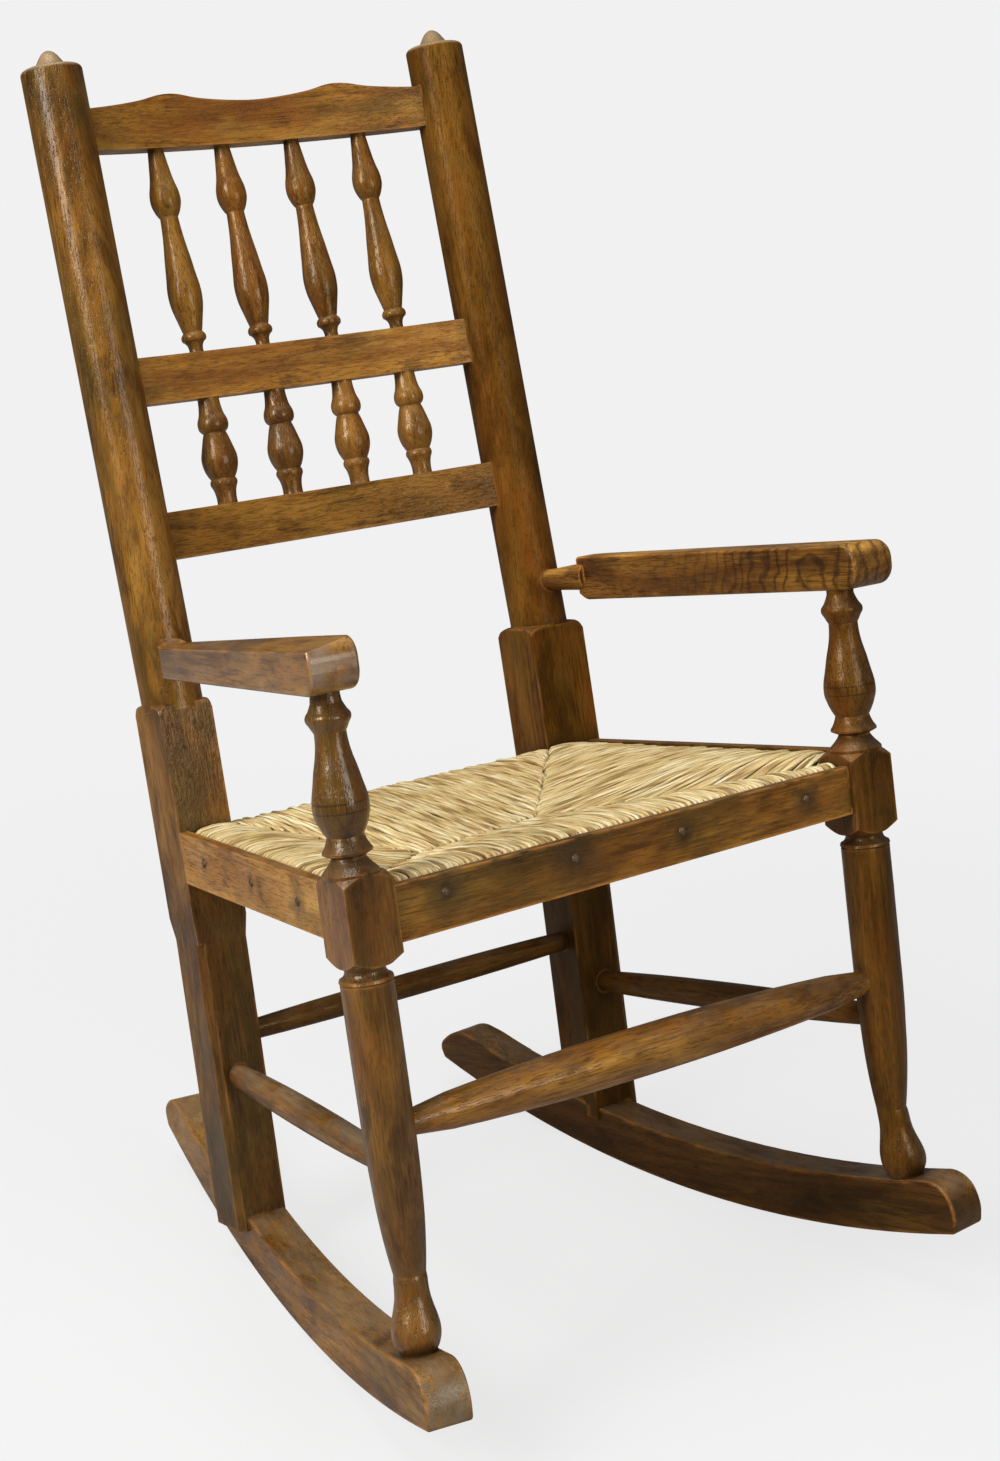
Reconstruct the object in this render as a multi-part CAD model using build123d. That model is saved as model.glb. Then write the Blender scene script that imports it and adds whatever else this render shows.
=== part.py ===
"""Turned spindle-back rocking armchair with a rush seat.

Every piece is modelled upright, in the joiner's own frame: the front legs stand plumb on X = 0,
Y = 0 is the plane of their axes, Z = 0 the underside of their pad feet, and +Y runs to the back.
At the end the whole chair is tipped back to the lean at which it comes to rest on its rockers.
Sizes are in millimetres.
"""

from build123d import *
from math import atan2, cos, degrees, radians, sin, sqrt, tan
import os

os.makedirs("parts", exist_ok=True)

# ---- clearances -----------------------------------------------------------------------------
FIT = 0.15              # round a tenon in its mortise, or a pin in its hole
SOFT_FIT = 0.3          # between the rush and the wood it is woven round
BOTTOM = 1.0            # air left under the end of a blind tenon

# ---- front legs -----------------------------------------------------------------------------
leg_x = 241.0           # each leg's axis from the middle of the chair, at leg_plumb_z
leg_plumb_z, leg_tilt = 335.0, 0.55   # the legs stand this many degrees wider at the top
foot_out, foot_fore = 4.0, 4.3        # the pad foot stands out and forward of that axis
ankle_z = 62.0
ankle_r = 12.6
foot_ring = [(18.0, 19.2), (32.0, 16.6), (47.0, 13.4)]     # height, radius
foot_base_r = 13.0
calf_z, calf_r = 144.0, 19.5
shin_r, shin_top_z = 20.3, 288.0      # nearly straight up to a groove under the ring
shin_groove = 1.0
shin_ring_r, shin_ring_h = 20.9, 5.0
block_lo, block_hi = 301.5, 370.0     # the square that takes the seat rails
front_block, front_block_x = 42.5, 239.0
block_foot_round, block_head_round = 7.0, 6.0
cove_r = 15.6
arm_pin_r, arm_pin_len = 8.0, 17.0
neck_r, arm_neck_top_r = 11.8, 11.2   # under the arm
neck_let_in = 1.0       # the neck's shoulder is let into the arm this far
base_ring_r, base_ring_h = 21.6, 4.5  # flared ring that the baluster stands on
base_neck_r, base_neck_z = 12.7, 383.5
cup_r, cup_z = 19.0, 388.0
belly_r, belly_z = 21.4, 419.0
bead_r, bead_z = 17.2, 487.0

# ---- back posts -----------------------------------------------------------------------------
post_x = 191.0
post_y = 371.0          # axis of the square leg below the seat
back_leg = 47.0         # square of the left and right leg: no two billets were alike
back_leg_left, back_leg_right = 45.5, 50.0
cheek_z = 3.0           # how low the outer cheek laps down beside the rocker
back_block = 53.5       # what the rails and strips were cut to
back_block_left, back_block_right = 50.0, 58.0
block_rise_left, block_rise_right = -1.0, 3.0     # top of the block above the knee
back_block_lo, knee_z = 281.0, 471.0
shoulder_run = 19.0     # height of the slope from leg to block
knee_y = 379.5          # the axis at the top of the block, where the round post begins
rake = 6.0              # degrees, the round post back from plumb
post_r = 26.4
post_len = 545.0        # from the knee to the shoulder under the nib
nib_h, nib_r, nib_slope = 15.0, 12.5, 2.5
worn_corner = 6.0

# ---- back rails: heights are measured up the raked post from the knee -------------------------
rail_t = 20.0
rail_bow, crest_bow = 10.5, 19.5      # how far each rail is bent back in its middle
rail_housing = 13.0     # how far its end goes into the post
low_rail_at, low_rail_h = 118.4, 40.7
mid_rail_at, mid_rail_h = 252.8, 40.2
crest_at, crest_end_h = 472.5, 36.2
crest_hump_x, crest_hump_h, crest_dip_h = 83.0, 10.3, 1.2

# ---- spindles -------------------------------------------------------------------------------
upper_spindle_x = (-102.0, -35.0, 35.0, 102.0)
lower_spindle_x = (-99.6, -32.8, 36.1, 100.9)
spindle_pin_r, spindle_pin_len = 5.0, 12.0
upper_belly_r, upper_ball_r = 14.7, 13.3
lower_belly_r, lower_ring_r = 15.8, 13.5

# ---- arms -----------------------------------------------------------------------------------
arm_top_z = 541.5                               # over the front leg
arm_under_left, arm_under_right = 507.0, 504.0
arm_drop_left, arm_drop_right = 16.0, 6.0       # fall of the top by the time it nears the post
arm_lift_left, arm_lift_right = 6.5, 0.0        # how much higher the inner top edge stands at the nose
arm_under_drop = 8.0
arm_end_y = 322.0
arm_nose_left, arm_nose_right = -41.0, -34.5
arm_front_in, arm_front_out = 229.0, 269.0      # faces over the front leg
arm_rear_in, arm_rear_out = 202.3, 231.5        # behind, the outer one where its chamfer starts
arm_end_chamfer = 22.0
arm_nose_top_r, arm_nose_under_r = 15.0, 17.0
arm_heel_rise, arm_heel_run = 6.0, 10.0         # the underside cut up towards the neck
arm_edge = 3.0
arm_neck_r, arm_neck_root_r, arm_neck_z = 10.0, 12.8, 514.5
arm_neck_fall = 2.5     # the neck's root above its tenon
arm_neck_in = 15.0      # how far the neck's tenon goes into the post

# ---- stretchers -----------------------------------------------------------------------------
front_stretcher_z = 174.5
front_stretcher_r, front_stretcher_end_r = 20.0, 10.0
front_shoulder_r, front_shoulder_at = 14.4, 34.0
side_stretcher_left_z = (145.5, 141.5)          # front end, rear end
side_stretcher_right_z = (141.5, 131.5)
side_stretcher_r, side_stretcher_end_r = 12.6, 9.8
back_stretcher_left_z, back_stretcher_right_z = 171.5, 174.5
back_stretcher_r, back_stretcher_end_r = 11.0, 9.0
socket_in = 17.0        # how far a stretcher's end goes into a leg

# ---- seat -----------------------------------------------------------------------------------
rail_w, rail_deep = 16.0, 26.0
rail_pin_r, rail_pin_len = 6.5, 13.0
rush_skin = 4.0         # rush between a rail and the strip nailed over it
strip_t, strip_h = 9.0, 44.5
strip_setback = 4.5     # front strip behind the face of the leg blocks
front_strip_z = 316.0
front_strip_left = (314.0, 357.5)     # bottom and top at the ends: it was sawn and nailed out of true
front_strip_right = (321.5, 361.0)
side_strip_h = 44.0
side_strip_front_z, side_strip_rear_z = 322.0, 318.0
strip_flush = 1.2       # side strips inside the outer face of the blocks
side_trim = 15.0        # their ends are cut square this far outside the blocks' inner faces
rush_over = 5.0         # rush above the top of the front strip
rush_under = 4.0        # strip below the underside of the rush
rush_fall = 8.0         # top lower at the back
rush_dish, rush_dish_reach = 15.0, 190.0
rush_round = 8.0
slack_tall = 100.0      # height of the room left for the blocks, more than the rush is thick
block_lean_slack = 4.0  # more room round the back block, which leans
slack_run_on = 0.06     # share of a side rail's length by which its room runs on into the blocks
nail_head_r, nail_head_h = 3.6, 1.6
nail_shank_r, nail_len = 1.1, 20.0
nail_z = 343.0
front_nails = [-173.0, -56.0, 46.0, 172.0]
side_nails = [70.0, 174.0, 290.0]

# ---- rockers --------------------------------------------------------------------------------
rocker_x = 244.5        # middle of the board abreast of the front legs
rocker_splay = 9.37     # degrees, each board turned in towards the back
rocker_t = 36.5
sole_r = 1135.0
sole_at, sole_z = 135.6, 1081.0       # centre of the sole's arc, along the board and up
rocker_deep = 46.5
rocker_deep_tail_left, rocker_deep_tail_right = 45.5, 42.5
rocker_nose, rocker_tail_left, rocker_tail_right = -65.0, 591.0, 577.0
rocker_edge = 2.0

# ---- densities, kg/dm3, for the lean at rest --------------------------------------------------
WOOD, RUSH, IRON = 0.60, 0.30, 7.2


def sweep(start, end, heading):
    """Arc from start to end that leaves along heading; a line where it would be all but straight."""
    chord, heading = end - start, heading.normalized()
    turn = heading.X * chord.Y - heading.Y * chord.X
    bulge = turn / (1 + heading.dot(chord.normalized())) / 2
    if abs(bulge) < 0.05:
        Line(start, end)
    else:
        normal = Vector(chord.Y, -chord.X).normalized()
        ThreePointArc(start, (start + end) * 0.5 + normal * bulge, end)


def curve(*points, leave=None, arrive=None):
    """Smooth curve through the points as pairs of tangent arcs, like the sweeps of a gouge."""
    p = [Vector(*point) for point in points]
    steps = [(b - a).normalized() for a, b in zip(p, p[1:])]
    headings = [(a + b).normalized() for a, b in zip(steps, steps[1:])]
    first = Vector(*leave).normalized() if leave else (steps[0] * 2 - headings[0]).normalized()
    last = Vector(*arrive).normalized() if arrive else (steps[-1] * 2 - headings[-1]).normalized()
    headings = [first] + headings + [last]
    for start, end, go, come in zip(p, p[1:], headings, headings[1:]):
        chord, both, spread = end - start, go + come, 1 - go.dot(come)
        if spread < 1e-4:
            reach = chord.dot(chord) / (4 * chord.dot(come))
        else:
            along = chord.dot(both)
            reach = (sqrt(along ** 2 + 2 * spread * chord.dot(chord)) - along) / (2 * spread)
        middle = (start + go * reach + end - come * reach) * 0.5
        sweep(start, middle, go)
        sweep(middle, end, (middle - (start + go * reach)))


def lathe(*runs):
    """Turned work about +Z. Each run is (radius, height) points: two make a line, more a curve."""
    foot, head = runs[0][0], runs[-1][-1]
    with BuildPart() as work:
        with BuildSketch(Plane.XZ):
            with BuildLine():
                for run in runs:
                    ends_on_axis = (-1, 0) if run[-1][0] == 0 else None
                    Line(*run) if len(run) == 2 else curve(*run, arrive=ends_on_axis)
                if head[0] > 0:
                    Line(head, (0, head[1]))
                Line((0, head[1]), (0, foot[1]))
                Line((0, foot[1]), foot)
            make_face()
        revolve(axis=Axis.Z)
    return work.part


def peg(radius, length, grow=0.0):
    """A round pin from Z = 0 up, made bigger all round by `grow` to bore its hole."""
    return Pos(0, 0, -grow) * Cylinder(radius + grow, length + 2 * grow,
                                       align=(Align.CENTER, Align.CENTER, Align.MIN))


def aim(start, end):
    """Location that carries +Z from `start` towards `end`."""
    return Location(Plane(origin=start, z_dir=Vector(*end) - Vector(*start)))


def mirrored(piece):
    """The same piece for the other side of the chair."""
    return mirror(piece, about=Plane.YZ)


def prism(size, bottom, top):
    """Square post between two level squares, given their centres."""
    with BuildPart() as work:
        for centre in (bottom, top):
            with BuildSketch(Plane(origin=centre)):
                Rectangle(size, size)
        loft(ruled=True)
    return work.part


# ---- frame of the raked back ------------------------------------------------------------------
# Inside it X runs across, Y square to the back and away from the sitter, Z up along the posts.
BACK = Location(Plane(origin=(0, knee_y, knee_z), x_dir=(1, 0, 0),
                      z_dir=(0, sin(radians(rake)), cos(radians(rake)))))


def bow(x, depth):
    """How far back a rail that is bent by depth in its middle stands from the posts' plane at x."""
    return depth * (1 - (x / post_x) ** 2)


def rail_blank(at, height, depth, grow=0.0):
    """A bent rail with plain ends, in the frame of the back."""
    reach = post_x - post_r + rail_housing + grow
    half = rail_t / 2 + grow
    with BuildPart() as work:
        with BuildSketch(Plane.XY.offset(at - grow)):
            with BuildLine():
                end = bow(reach, depth)
                front = ThreePointArc((-reach, end - half), (0, depth - half), (reach, end - half))
                back = ThreePointArc((-reach, end + half), (0, depth + half), (reach, end + half))
                Line(front @ 0, back @ 0)
                Line(front @ 1, back @ 1)
            make_face()
        extrude(amount=height + 2 * grow)
    return work.part


def crest_outline():
    """The crest's shaped top edge: a low hump over each pair of spindles and a dip between."""
    reach, flat = post_x, post_x - post_r - 3
    foot, end = crest_at - 1, crest_at + crest_end_h
    hump = [(flat, end), (1.45 * crest_hump_x, end + 0.42 * crest_hump_h),
            (crest_hump_x, end + crest_hump_h), (0.62 * crest_hump_x, end + 0.5 * crest_hump_h),
            (0.3 * crest_hump_x, end + 0.2 * crest_hump_h + 0.3), (0, end + crest_dip_h)]
    with BuildPart() as work:
        with BuildSketch(Plane.XZ):
            with BuildLine():
                curve(*hump, *[(-x, z) for x, z in reversed(hump[:-1])])
                Polyline((-flat, end), (-reach, end), (-reach, foot), (reach, foot), (reach, end), (flat, end))
            make_face()
        extrude(amount=60, both=True)
    return work.part


# ---- spindles, turned about +Z with their lower shoulder on Z = 0 -----------------------------
def upper_spindle(length):
    """Long back spindle: drop-shaped ball near the top, bottle body, collar near the foot."""
    def up(share):
        return share * length
    shaft = lathe([(6.6, 0), (7.0, up(0.045)), (10.3, up(0.065))],
                  [(10.3, up(0.065)), (10.9, up(0.085)), (8.4, up(0.105))],
                  [(8.4, up(0.105)), (9.6, up(0.13)), (upper_belly_r, up(0.27)),
                   (12.4, up(0.42)), (8.9, up(0.58)), (7.9, up(0.665))],
                  [(7.9, up(0.665)), (10.6, up(0.69)), (upper_ball_r, up(0.745)),
                   (9.6, up(0.87)), (6.7, up(1.0))])
    return shaft


def lower_spindle(length):
    """Short back spindle: ring near the top, round belly and a collar near the foot."""
    def up(share):
        return share * length
    return lathe([(9.1, 0), (9.4, up(0.12)), (11.8, up(0.19))],
                 [(11.8, up(0.19)), (11.9, up(0.22)), (10.7, up(0.245))],
                 [(10.7, up(0.245)), (lower_belly_r, up(0.40)), (12.6, up(0.58)), (9.9, up(0.67))],
                 [(9.9, up(0.67)), (12.6, up(0.70)), (lower_ring_r, up(0.755)), (10.6, up(0.86)),
                  (9.4, up(1.0))])


def spindle_pins(start, end, grow=0.0):
    """The rod inside a spindle that comes out as a pin at each end."""
    length = (Vector(*end) - Vector(*start)).length
    return aim(start, end) * Pos(0, 0, -spindle_pin_len) * peg(spindle_pin_r, length + 2 * spindle_pin_len, grow)


def spindle(body, start, end):
    """A spindle between two rails, its shoulders cut level to sit on them, with a pin at each end."""
    length = (Vector(*end) - Vector(*start)).length
    turning = aim(start, end) * Pos(0, 0, -1) * body(length + 2)
    between = Pos(start[0], start[1], (start[2] + end[2]) / 2) * Box(90, 90, end[2] - start[2])
    return (turning & between) + spindle_pins(start, end)


# ---- rockers ----------------------------------------------------------------------------------
def rocker(tail, deep_tail):
    """Sawn board: arc sole, arc top, rounded-down nose and a blunt rounded tail (right-hand one)."""
    def on(deep, along):
        return (along, sole_z - sqrt((sole_r - deep) ** 2 - (along - sole_at) ** 2))
    nose_top, tail_top = on(rocker_deep, rocker_nose + 29), on(deep_tail, tail - 72)
    toe, heel = on(0, rocker_nose + 1), on(0, tail)
    middle = (rocker_nose + tail) / 2
    board = Plane(origin=(rocker_x, 0, 0), x_dir=(-sin(radians(rocker_splay)), cos(radians(rocker_splay)), 0),
                  z_dir=(cos(radians(rocker_splay)), sin(radians(rocker_splay)), 0))
    with BuildPart() as work:
        with BuildSketch(board) as profile:
            with BuildLine():
                ThreePointArc(toe, on(0, middle), heel)
                ThreePointArc(nose_top, on(rocker_deep, middle), tail_top)
                curve(nose_top, (rocker_nose + 9, nose_top[1] - 6), (rocker_nose, nose_top[1] - 24), toe,
                      leave=(-1, 0.12), arrive=(0.12, -1))
                curve(tail_top, (tail - 48, tail_top[1] + 8), (tail - 27, tail_top[1] + 11.5),
                      (tail - 8, tail_top[1] + 5), (tail + 2.5, tail_top[1] - 5), heel,
                      leave=(1, 0.36), arrive=(-0.25, -1))
            make_face()
            fillet([v for v in profile.vertices() if min(abs(v.X - a) + abs(v.Y - b) for a, b in (toe, heel)) < 0.1], 5)
        extrude(amount=rocker_t / 2, both=True)
        sides = work.faces().filter_by(GeomType.PLANE).sort_by(SortBy.AREA)[-2:]
        fillet(sides.edges(), rocker_edge)
    return work.part


# ---- front legs (right-hand one) ----------------------------------------------------------------
def leg_line(z):
    """The front leg's axis at height z, from the middle of the chair."""
    return leg_x + (z - leg_plumb_z) * tan(radians(leg_tilt))


LEG = Pos(leg_x, 0, leg_plumb_z) * Rot(Y=leg_tilt) * Pos(0, 0, -leg_plumb_z)     # a leg's lathe axis, stood up


def leg_turning(under):
    """Everything of the front leg that is turned on its own axis, from the ankle to the arm."""
    ring_z, ring_top = shin_top_z + 2, shin_top_z + 2 + shin_ring_h
    shin = [[(ankle_r, ankle_z), (0.5 * (ankle_r + calf_r) + 0.8, 0.58 * ankle_z + 0.42 * calf_z),
             (calf_r, calf_z), (shin_r, 0.5 * (calf_z + shin_top_z)), (shin_r, shin_top_z)],
            [(shin_r, shin_top_z), (shin_r - shin_groove, shin_top_z + 1)],
            [(shin_r - shin_groove, shin_top_z + 1), (shin_ring_r, ring_z)],
            [(shin_ring_r, ring_z), (shin_ring_r - 0.6, ring_z + 2)],
            [(shin_ring_r - 0.6, ring_z + 2), (cove_r + 0.9, ring_top), (cove_r, block_lo - 2.5)],
            [(cove_r, block_lo - 2.5), (cove_r, block_hi - 1)]]
    ring = block_hi + base_ring_h
    baluster = [[(cove_r, block_hi - 1), (base_ring_r, block_hi - 1)],
                [(base_ring_r, block_hi - 1), (base_ring_r, ring - 2.5)],
                [(base_ring_r, ring - 2.5), (base_ring_r - 2.2, ring)],
                [(base_ring_r - 2.2, ring), (base_neck_r + 1.6, base_neck_z - 3), (base_neck_r, base_neck_z)],
                [(base_neck_r, base_neck_z), (cup_r, cup_z - 1.5)],
                [(cup_r, cup_z - 1.5), (cup_r, cup_z)],
                [(cup_r, cup_z), (16.0, cup_z + 5), (14.0, cup_z + 11)],
                [(14.0, cup_z + 11), (18.9, belly_z - 10), (belly_r, belly_z), (17.6, belly_z + 24),
                 (12.9, belly_z + 45), (12.0, bead_z - 11)],
                [(12.0, bead_z - 11), (14.4, bead_z - 6.5), (bead_r, bead_z), (13.8, bead_z + 6.5),
                 (neck_r, bead_z + 11)],
                [(neck_r, bead_z + 11), (arm_neck_top_r, under - 4)],
                [(arm_neck_top_r, under - 4), (arm_neck_top_r, under + neck_let_in)]]
    return lathe(*shin, *baluster)


def leg_block():
    """The square at the seat, its corners rounded off at both ends by the gouge."""
    half = sqrt(2) * front_block / 2 + 0.4
    square = Pos(0, 0, (block_lo + block_hi) / 2) * Box(front_block, front_block, block_hi - block_lo)
    shoulders = lathe([(cove_r, block_lo - 2.5), (20.0, block_lo - 1.0)],
                      [(20.0, block_lo - 1.0), (half, block_lo + block_foot_round)],
                      [(half, block_lo + block_foot_round), (half, block_hi - block_head_round)],
                      [(half, block_hi - block_head_round), (22.5, block_hi)])
    return Pos(front_block_x, 0, 0) * (square & shoulders)


def pad_foot():
    """The club-like foot: rings that shift out and forward below the ankle."""
    rings = [(-14.0, foot_base_r - 1.5), (0.0, foot_base_r)] + foot_ring + [(ankle_z, ankle_r)]
    with BuildPart() as work:
        for height, radius in rings:
            share = min(1.0, max(0.0, (ankle_z - height) / (ankle_z - foot_ring[0][0])))
            with BuildSketch(Plane(origin=(share * foot_out, -share * foot_fore, height))):
                Circle(radius)
        loft()
    return work.part


def front_leg(board, under):
    """Leg, seat block and arm support in one turning, scribed to the rocker, pinned into the arm."""
    stood = LEG * (leg_turning(under) + pad_foot()) + leg_block() - board
    return stood + arm_seat(under)


# ---- back posts (right-hand one) ------------------------------------------------------------------
def back_post(board, rails, size, leg_size, rise):
    """Raked round post with a nib, square block at the seat, and a square leg lapped on the rocker."""
    half = sqrt(2) * size / 2
    lean = (knee_y - post_y) / (knee_z - back_block_lo)
    low, knee = (post_x, post_y, back_block_lo), (post_x, knee_y + lean * rise, knee_z + rise)
    block = prism(size, low, knee)
    crown = aim((post_x, knee[1] - lean * 60, knee[2] - 60), knee) * lathe(
        [(half + 6, -200), (half + 6, 46)],
        [(half + 6, 46), (half - 0.8, 53)],
        [(half - 0.8, 53), (0.5 * size + 7, 58), (post_r + 0.4, 60.0)])
    with BuildPart() as slope:
        with BuildSketch(Plane(origin=(post_x, post_y, back_block_lo - shoulder_run))):
            Rectangle(leg_size, leg_size)
        with BuildSketch(Plane(origin=low)):
            Rectangle(size, size)
        loft(ruled=True)
    height = back_block_lo - shoulder_run - cheek_z
    leg = Pos(post_x, post_y, cheek_z + height / 2) * Box(leg_size, leg_size, height)
    outer_front = leg.edges().filter_by(Axis.Z).sort_by(lambda e: e.center().Y - e.center().X)[0]
    leg = chamfer(outer_front, worn_corner)
    round_post = BACK * Pos(post_x, 0, 0) * lathe(
        [(post_r, -8), (post_r, post_len - 4)],
        [(post_r, post_len - 4), (post_r - 1.2, post_len - 1.2), (post_r - 4, post_len)],
        [(post_r - 4, post_len), (nib_r, post_len + nib_slope)],
        [(nib_r, post_len + nib_slope), (nib_r - 2.4, post_len + 0.45 * nib_h), (0.42 * nib_r, post_len + 0.86 * nib_h),
         (0, post_len + nib_h)])
    return (block & crown) + slope.part + leg + round_post - board - rails


# ---- arms (right-hand one; the left differs only in its fall) ----------------------------------------
def arm_neck():
    """Where the round neck starts behind the arm and where its tenon ends inside the post."""
    rear = ((arm_rear_in + arm_rear_out) / 2 - 7, arm_end_y - 6, arm_neck_z + arm_neck_fall)
    post_line = knee_y + (arm_neck_z - knee_z) * tan(radians(rake))
    return rear, (post_x + 1.0, post_line - post_r + arm_neck_in, arm_neck_z)


def arm_tenon(grow=0.0):
    start, end = arm_neck()
    length = (Vector(*end) - Vector(*start)).length
    return aim(start, end) * peg(arm_neck_r, length, grow)


def arm_neck_root():
    """The neck's swelling where it comes out of the board, tapering to the tenon."""
    start, end = arm_neck()
    length = (Vector(*end) - Vector(*start)).length - arm_neck_in - 6
    return aim(start, end) * Cone(arm_neck_root_r, arm_neck_r, length, align=(Align.CENTER, Align.CENTER, Align.MIN))


def arm_seat(under, grow=0.0):
    """What the front leg puts into the arm: its pin, and the last millimetre of its neck."""
    neck = Cylinder(arm_neck_top_r + grow, 12 + neck_let_in, align=(Align.CENTER, Align.CENTER, Align.MIN))
    return LEG * (Pos(0, 0, under - 3) * peg(arm_pin_r, arm_pin_len, grow) + Pos(0, 0, under - 12) * neck)


def arm(drop, lift, under_z, nose_y):
    """Arm board with a rounded nose, tapered in plan and chamfered behind to a round neck."""
    def under(y):
        return under_z - arm_under_drop * y / arm_end_y

    def inner(y):
        return arm_front_in + (arm_rear_in - arm_front_in) * y / arm_end_y

    def outer(y):
        return arm_front_out + (arm_rear_out - arm_front_out) * y / (arm_end_y - arm_end_chamfer)
    nose_top = arm_top_z + lift
    wall = nose_top - under(nose_y)
    with BuildPart() as work:
        with BuildSketch(Plane.YZ.offset(arm_rear_in - 40)) as side:
            Polygon((nose_y, nose_top), (arm_end_y, arm_top_z - drop), (arm_end_y, under(arm_end_y) + arm_heel_rise),
                    (arm_end_y - arm_heel_run, under(arm_end_y)), (nose_y, under(nose_y)), align=None)
            for count, radius in ((-1, arm_nose_top_r), (0, arm_nose_under_r)):
                nose = side.vertices().filter_by(lambda v: abs(v.X - nose_y) < 1).sort_by(lambda v: v.Y)
                fillet(nose[count], min(radius, 0.45 * wall))
        extrude(amount=140)
        ahead, chamfer_y = nose_y - 8, arm_end_y - arm_end_chamfer
        with BuildSketch(Plane.XY.offset(under_z - 60)):
            Polygon((inner(ahead), ahead), (outer(ahead), ahead), (arm_rear_out, chamfer_y),
                    (arm_rear_out - 0.4 * arm_end_chamfer, arm_end_y), (arm_rear_in, arm_end_y), align=None)
        extrude(amount=140, mode=Mode.INTERSECT)
        fillet(work.edges().filter_by(lambda e: e.length > 60), arm_edge)
    board = work.part
    if lift:
        board -= worn_side(drop, lift, nose_y)
    return board + arm_neck_root() + arm_tenon()


def worn_side(drop, lift, nose_y):
    """What rubbing took off an arm's outer top edge, most at the nose and nothing by the post."""
    nose = Vector(arm_front_out, nose_y, arm_top_z)
    inner_nose = Vector(arm_front_in, nose_y, arm_top_z + lift)
    rear = Vector(arm_rear_out, arm_end_y - arm_end_chamfer, arm_top_z - drop)
    top = (inner_nose - nose).cross(rear - nose)
    top = top if top.Z > 0 else top * -1
    return Location(Plane(origin=nose, x_dir=rear - nose, z_dir=top)) * Box(
        1200, 400, 60, align=(Align.CENTER, Align.CENTER, Align.MIN))


# ---- stretchers ---------------------------------------------------------------------------------
def plain_stretcher(start, end, mid_r, end_r):
    """Round stretcher, a little fuller in its middle, between two points inside the legs."""
    length = (Vector(*end) - Vector(*start)).length
    body = lathe([(end_r, 0), (end_r, socket_in + 4)],
                 [(end_r, socket_in + 4), (0.5 * (mid_r + end_r) + 0.4, 0.22 * length), (mid_r, 0.5 * length),
                  (0.5 * (mid_r + end_r) + 0.4, 0.78 * length), (end_r, length - socket_in - 4)],
                 [(end_r, length - socket_in - 4), (end_r, length)])
    return aim(start, end) * body


def front_stretcher():
    """Swelled front stretcher with a coned end that stops at a shoulder."""
    reach = leg_line(front_stretcher_z) - calf_r + socket_in
    cone = reach - socket_in
    half = [[(front_stretcher_end_r, reach), (front_stretcher_end_r, cone)],
            [(front_stretcher_end_r, cone), (front_shoulder_r, cone - front_shoulder_at)]]
    belly = [(front_shoulder_r, cone - front_shoulder_at), (0.45 * front_shoulder_r + 0.55 * front_stretcher_r, 128),
             (front_stretcher_r - 0.4, 58)]
    runs = [[(r, -z) for r, z in run] for run in half]
    runs.append([(r, -z) for r, z in belly] + [(front_stretcher_r, 0)] + [(r, z) for r, z in reversed(belly)])
    runs += [[(r, z) for r, z in reversed(run)] for run in reversed(half)]
    return Location((0, 0, front_stretcher_z), (0, 90, 0)) * lathe(*runs)


def side_stretcher_ends(front_z, rear_z):
    """Both ends of a side stretcher, on the line from front leg axis to back leg axis."""
    front, rear = Vector(leg_line(front_z), 0, front_z), Vector(post_x, post_y, rear_z)
    along = (rear - front).normalized()
    return (tuple(front + along * (calf_r - socket_in)),
            tuple(rear - along * (back_leg / 2 - socket_in)))


def back_stretcher_ends(far_z, near_z):
    """Both ends of the back stretcher, the one at -X first."""
    reach = post_x - back_leg / 2 + socket_in
    return (-reach, post_y, far_z), (reach, post_y, near_z)


def sockets(side_z, back_z):
    """The holes of one side for every stretcher, a fit bigger than its ends."""
    side = side_stretcher_ends(*side_z)
    back = back_stretcher_ends(*back_z)
    reach = leg_line(front_stretcher_z) - calf_r + socket_in
    holes = [(side, side_stretcher_end_r), (back, back_stretcher_end_r),
             (((-reach, 0, front_stretcher_z), (reach, 0, front_stretcher_z)), front_stretcher_end_r)]
    bores = []
    for (start, end), radius in holes:
        length = (Vector(*end) - Vector(*start)).length
        bore = Pos(0, 0, -BOTTOM) * Cylinder(radius + FIT, length + 2 * BOTTOM,
                                             align=(Align.CENTER, Align.CENTER, Align.MIN))
        bores.append(aim(start, end) * bore)
    return bores


# ---- seat ---------------------------------------------------------------------------------------
strip_face_y = -front_block / 2 + strip_setback           # front face of the front strip
rush_front_y = strip_face_y + strip_t                     # its back, where the rush begins
front_rail_y = rush_front_y + rush_skin + rail_w / 2
side_face_front = front_block_x + front_block / 2 - strip_flush   # outer face of a side strip at each end
side_face_rear = post_x + back_block / 2 - strip_flush
side_inset = strip_t + rush_skin + rail_w / 2             # a side rail's middle inside that face
rail_mid_z = front_strip_z + strip_h / 2
side_rail_front_z = side_strip_front_z + side_strip_h / 2
side_rail_rear_z = side_strip_rear_z + side_strip_h / 2
back_rail_z = side_rail_rear_z - 3
block_y = post_y + (knee_y - post_y) * (back_rail_z - back_block_lo) / (knee_z - back_block_lo)


def seat_rail(start, end, grow=0.0, pins=True):
    """Rail between two faces, its corners eased for the rush, with a pin at each end."""
    length = (Vector(*end) - Vector(*start)).length
    with BuildPart() as work:
        with BuildSketch():
            RectangleRounded(rail_w + 2 * grow, rail_deep + 2 * grow, 4 + grow)
        extrude(amount=length)
    place = Location(Plane(origin=start, x_dir=Vector(0, 0, 1).cross(Vector(*end) - Vector(*start)),
                           z_dir=Vector(*end) - Vector(*start)))
    body = work.part
    if pins:
        body += Pos(0, 0, -rail_pin_len) * peg(rail_pin_r, length + 2 * rail_pin_len)
    return place * body


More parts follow.
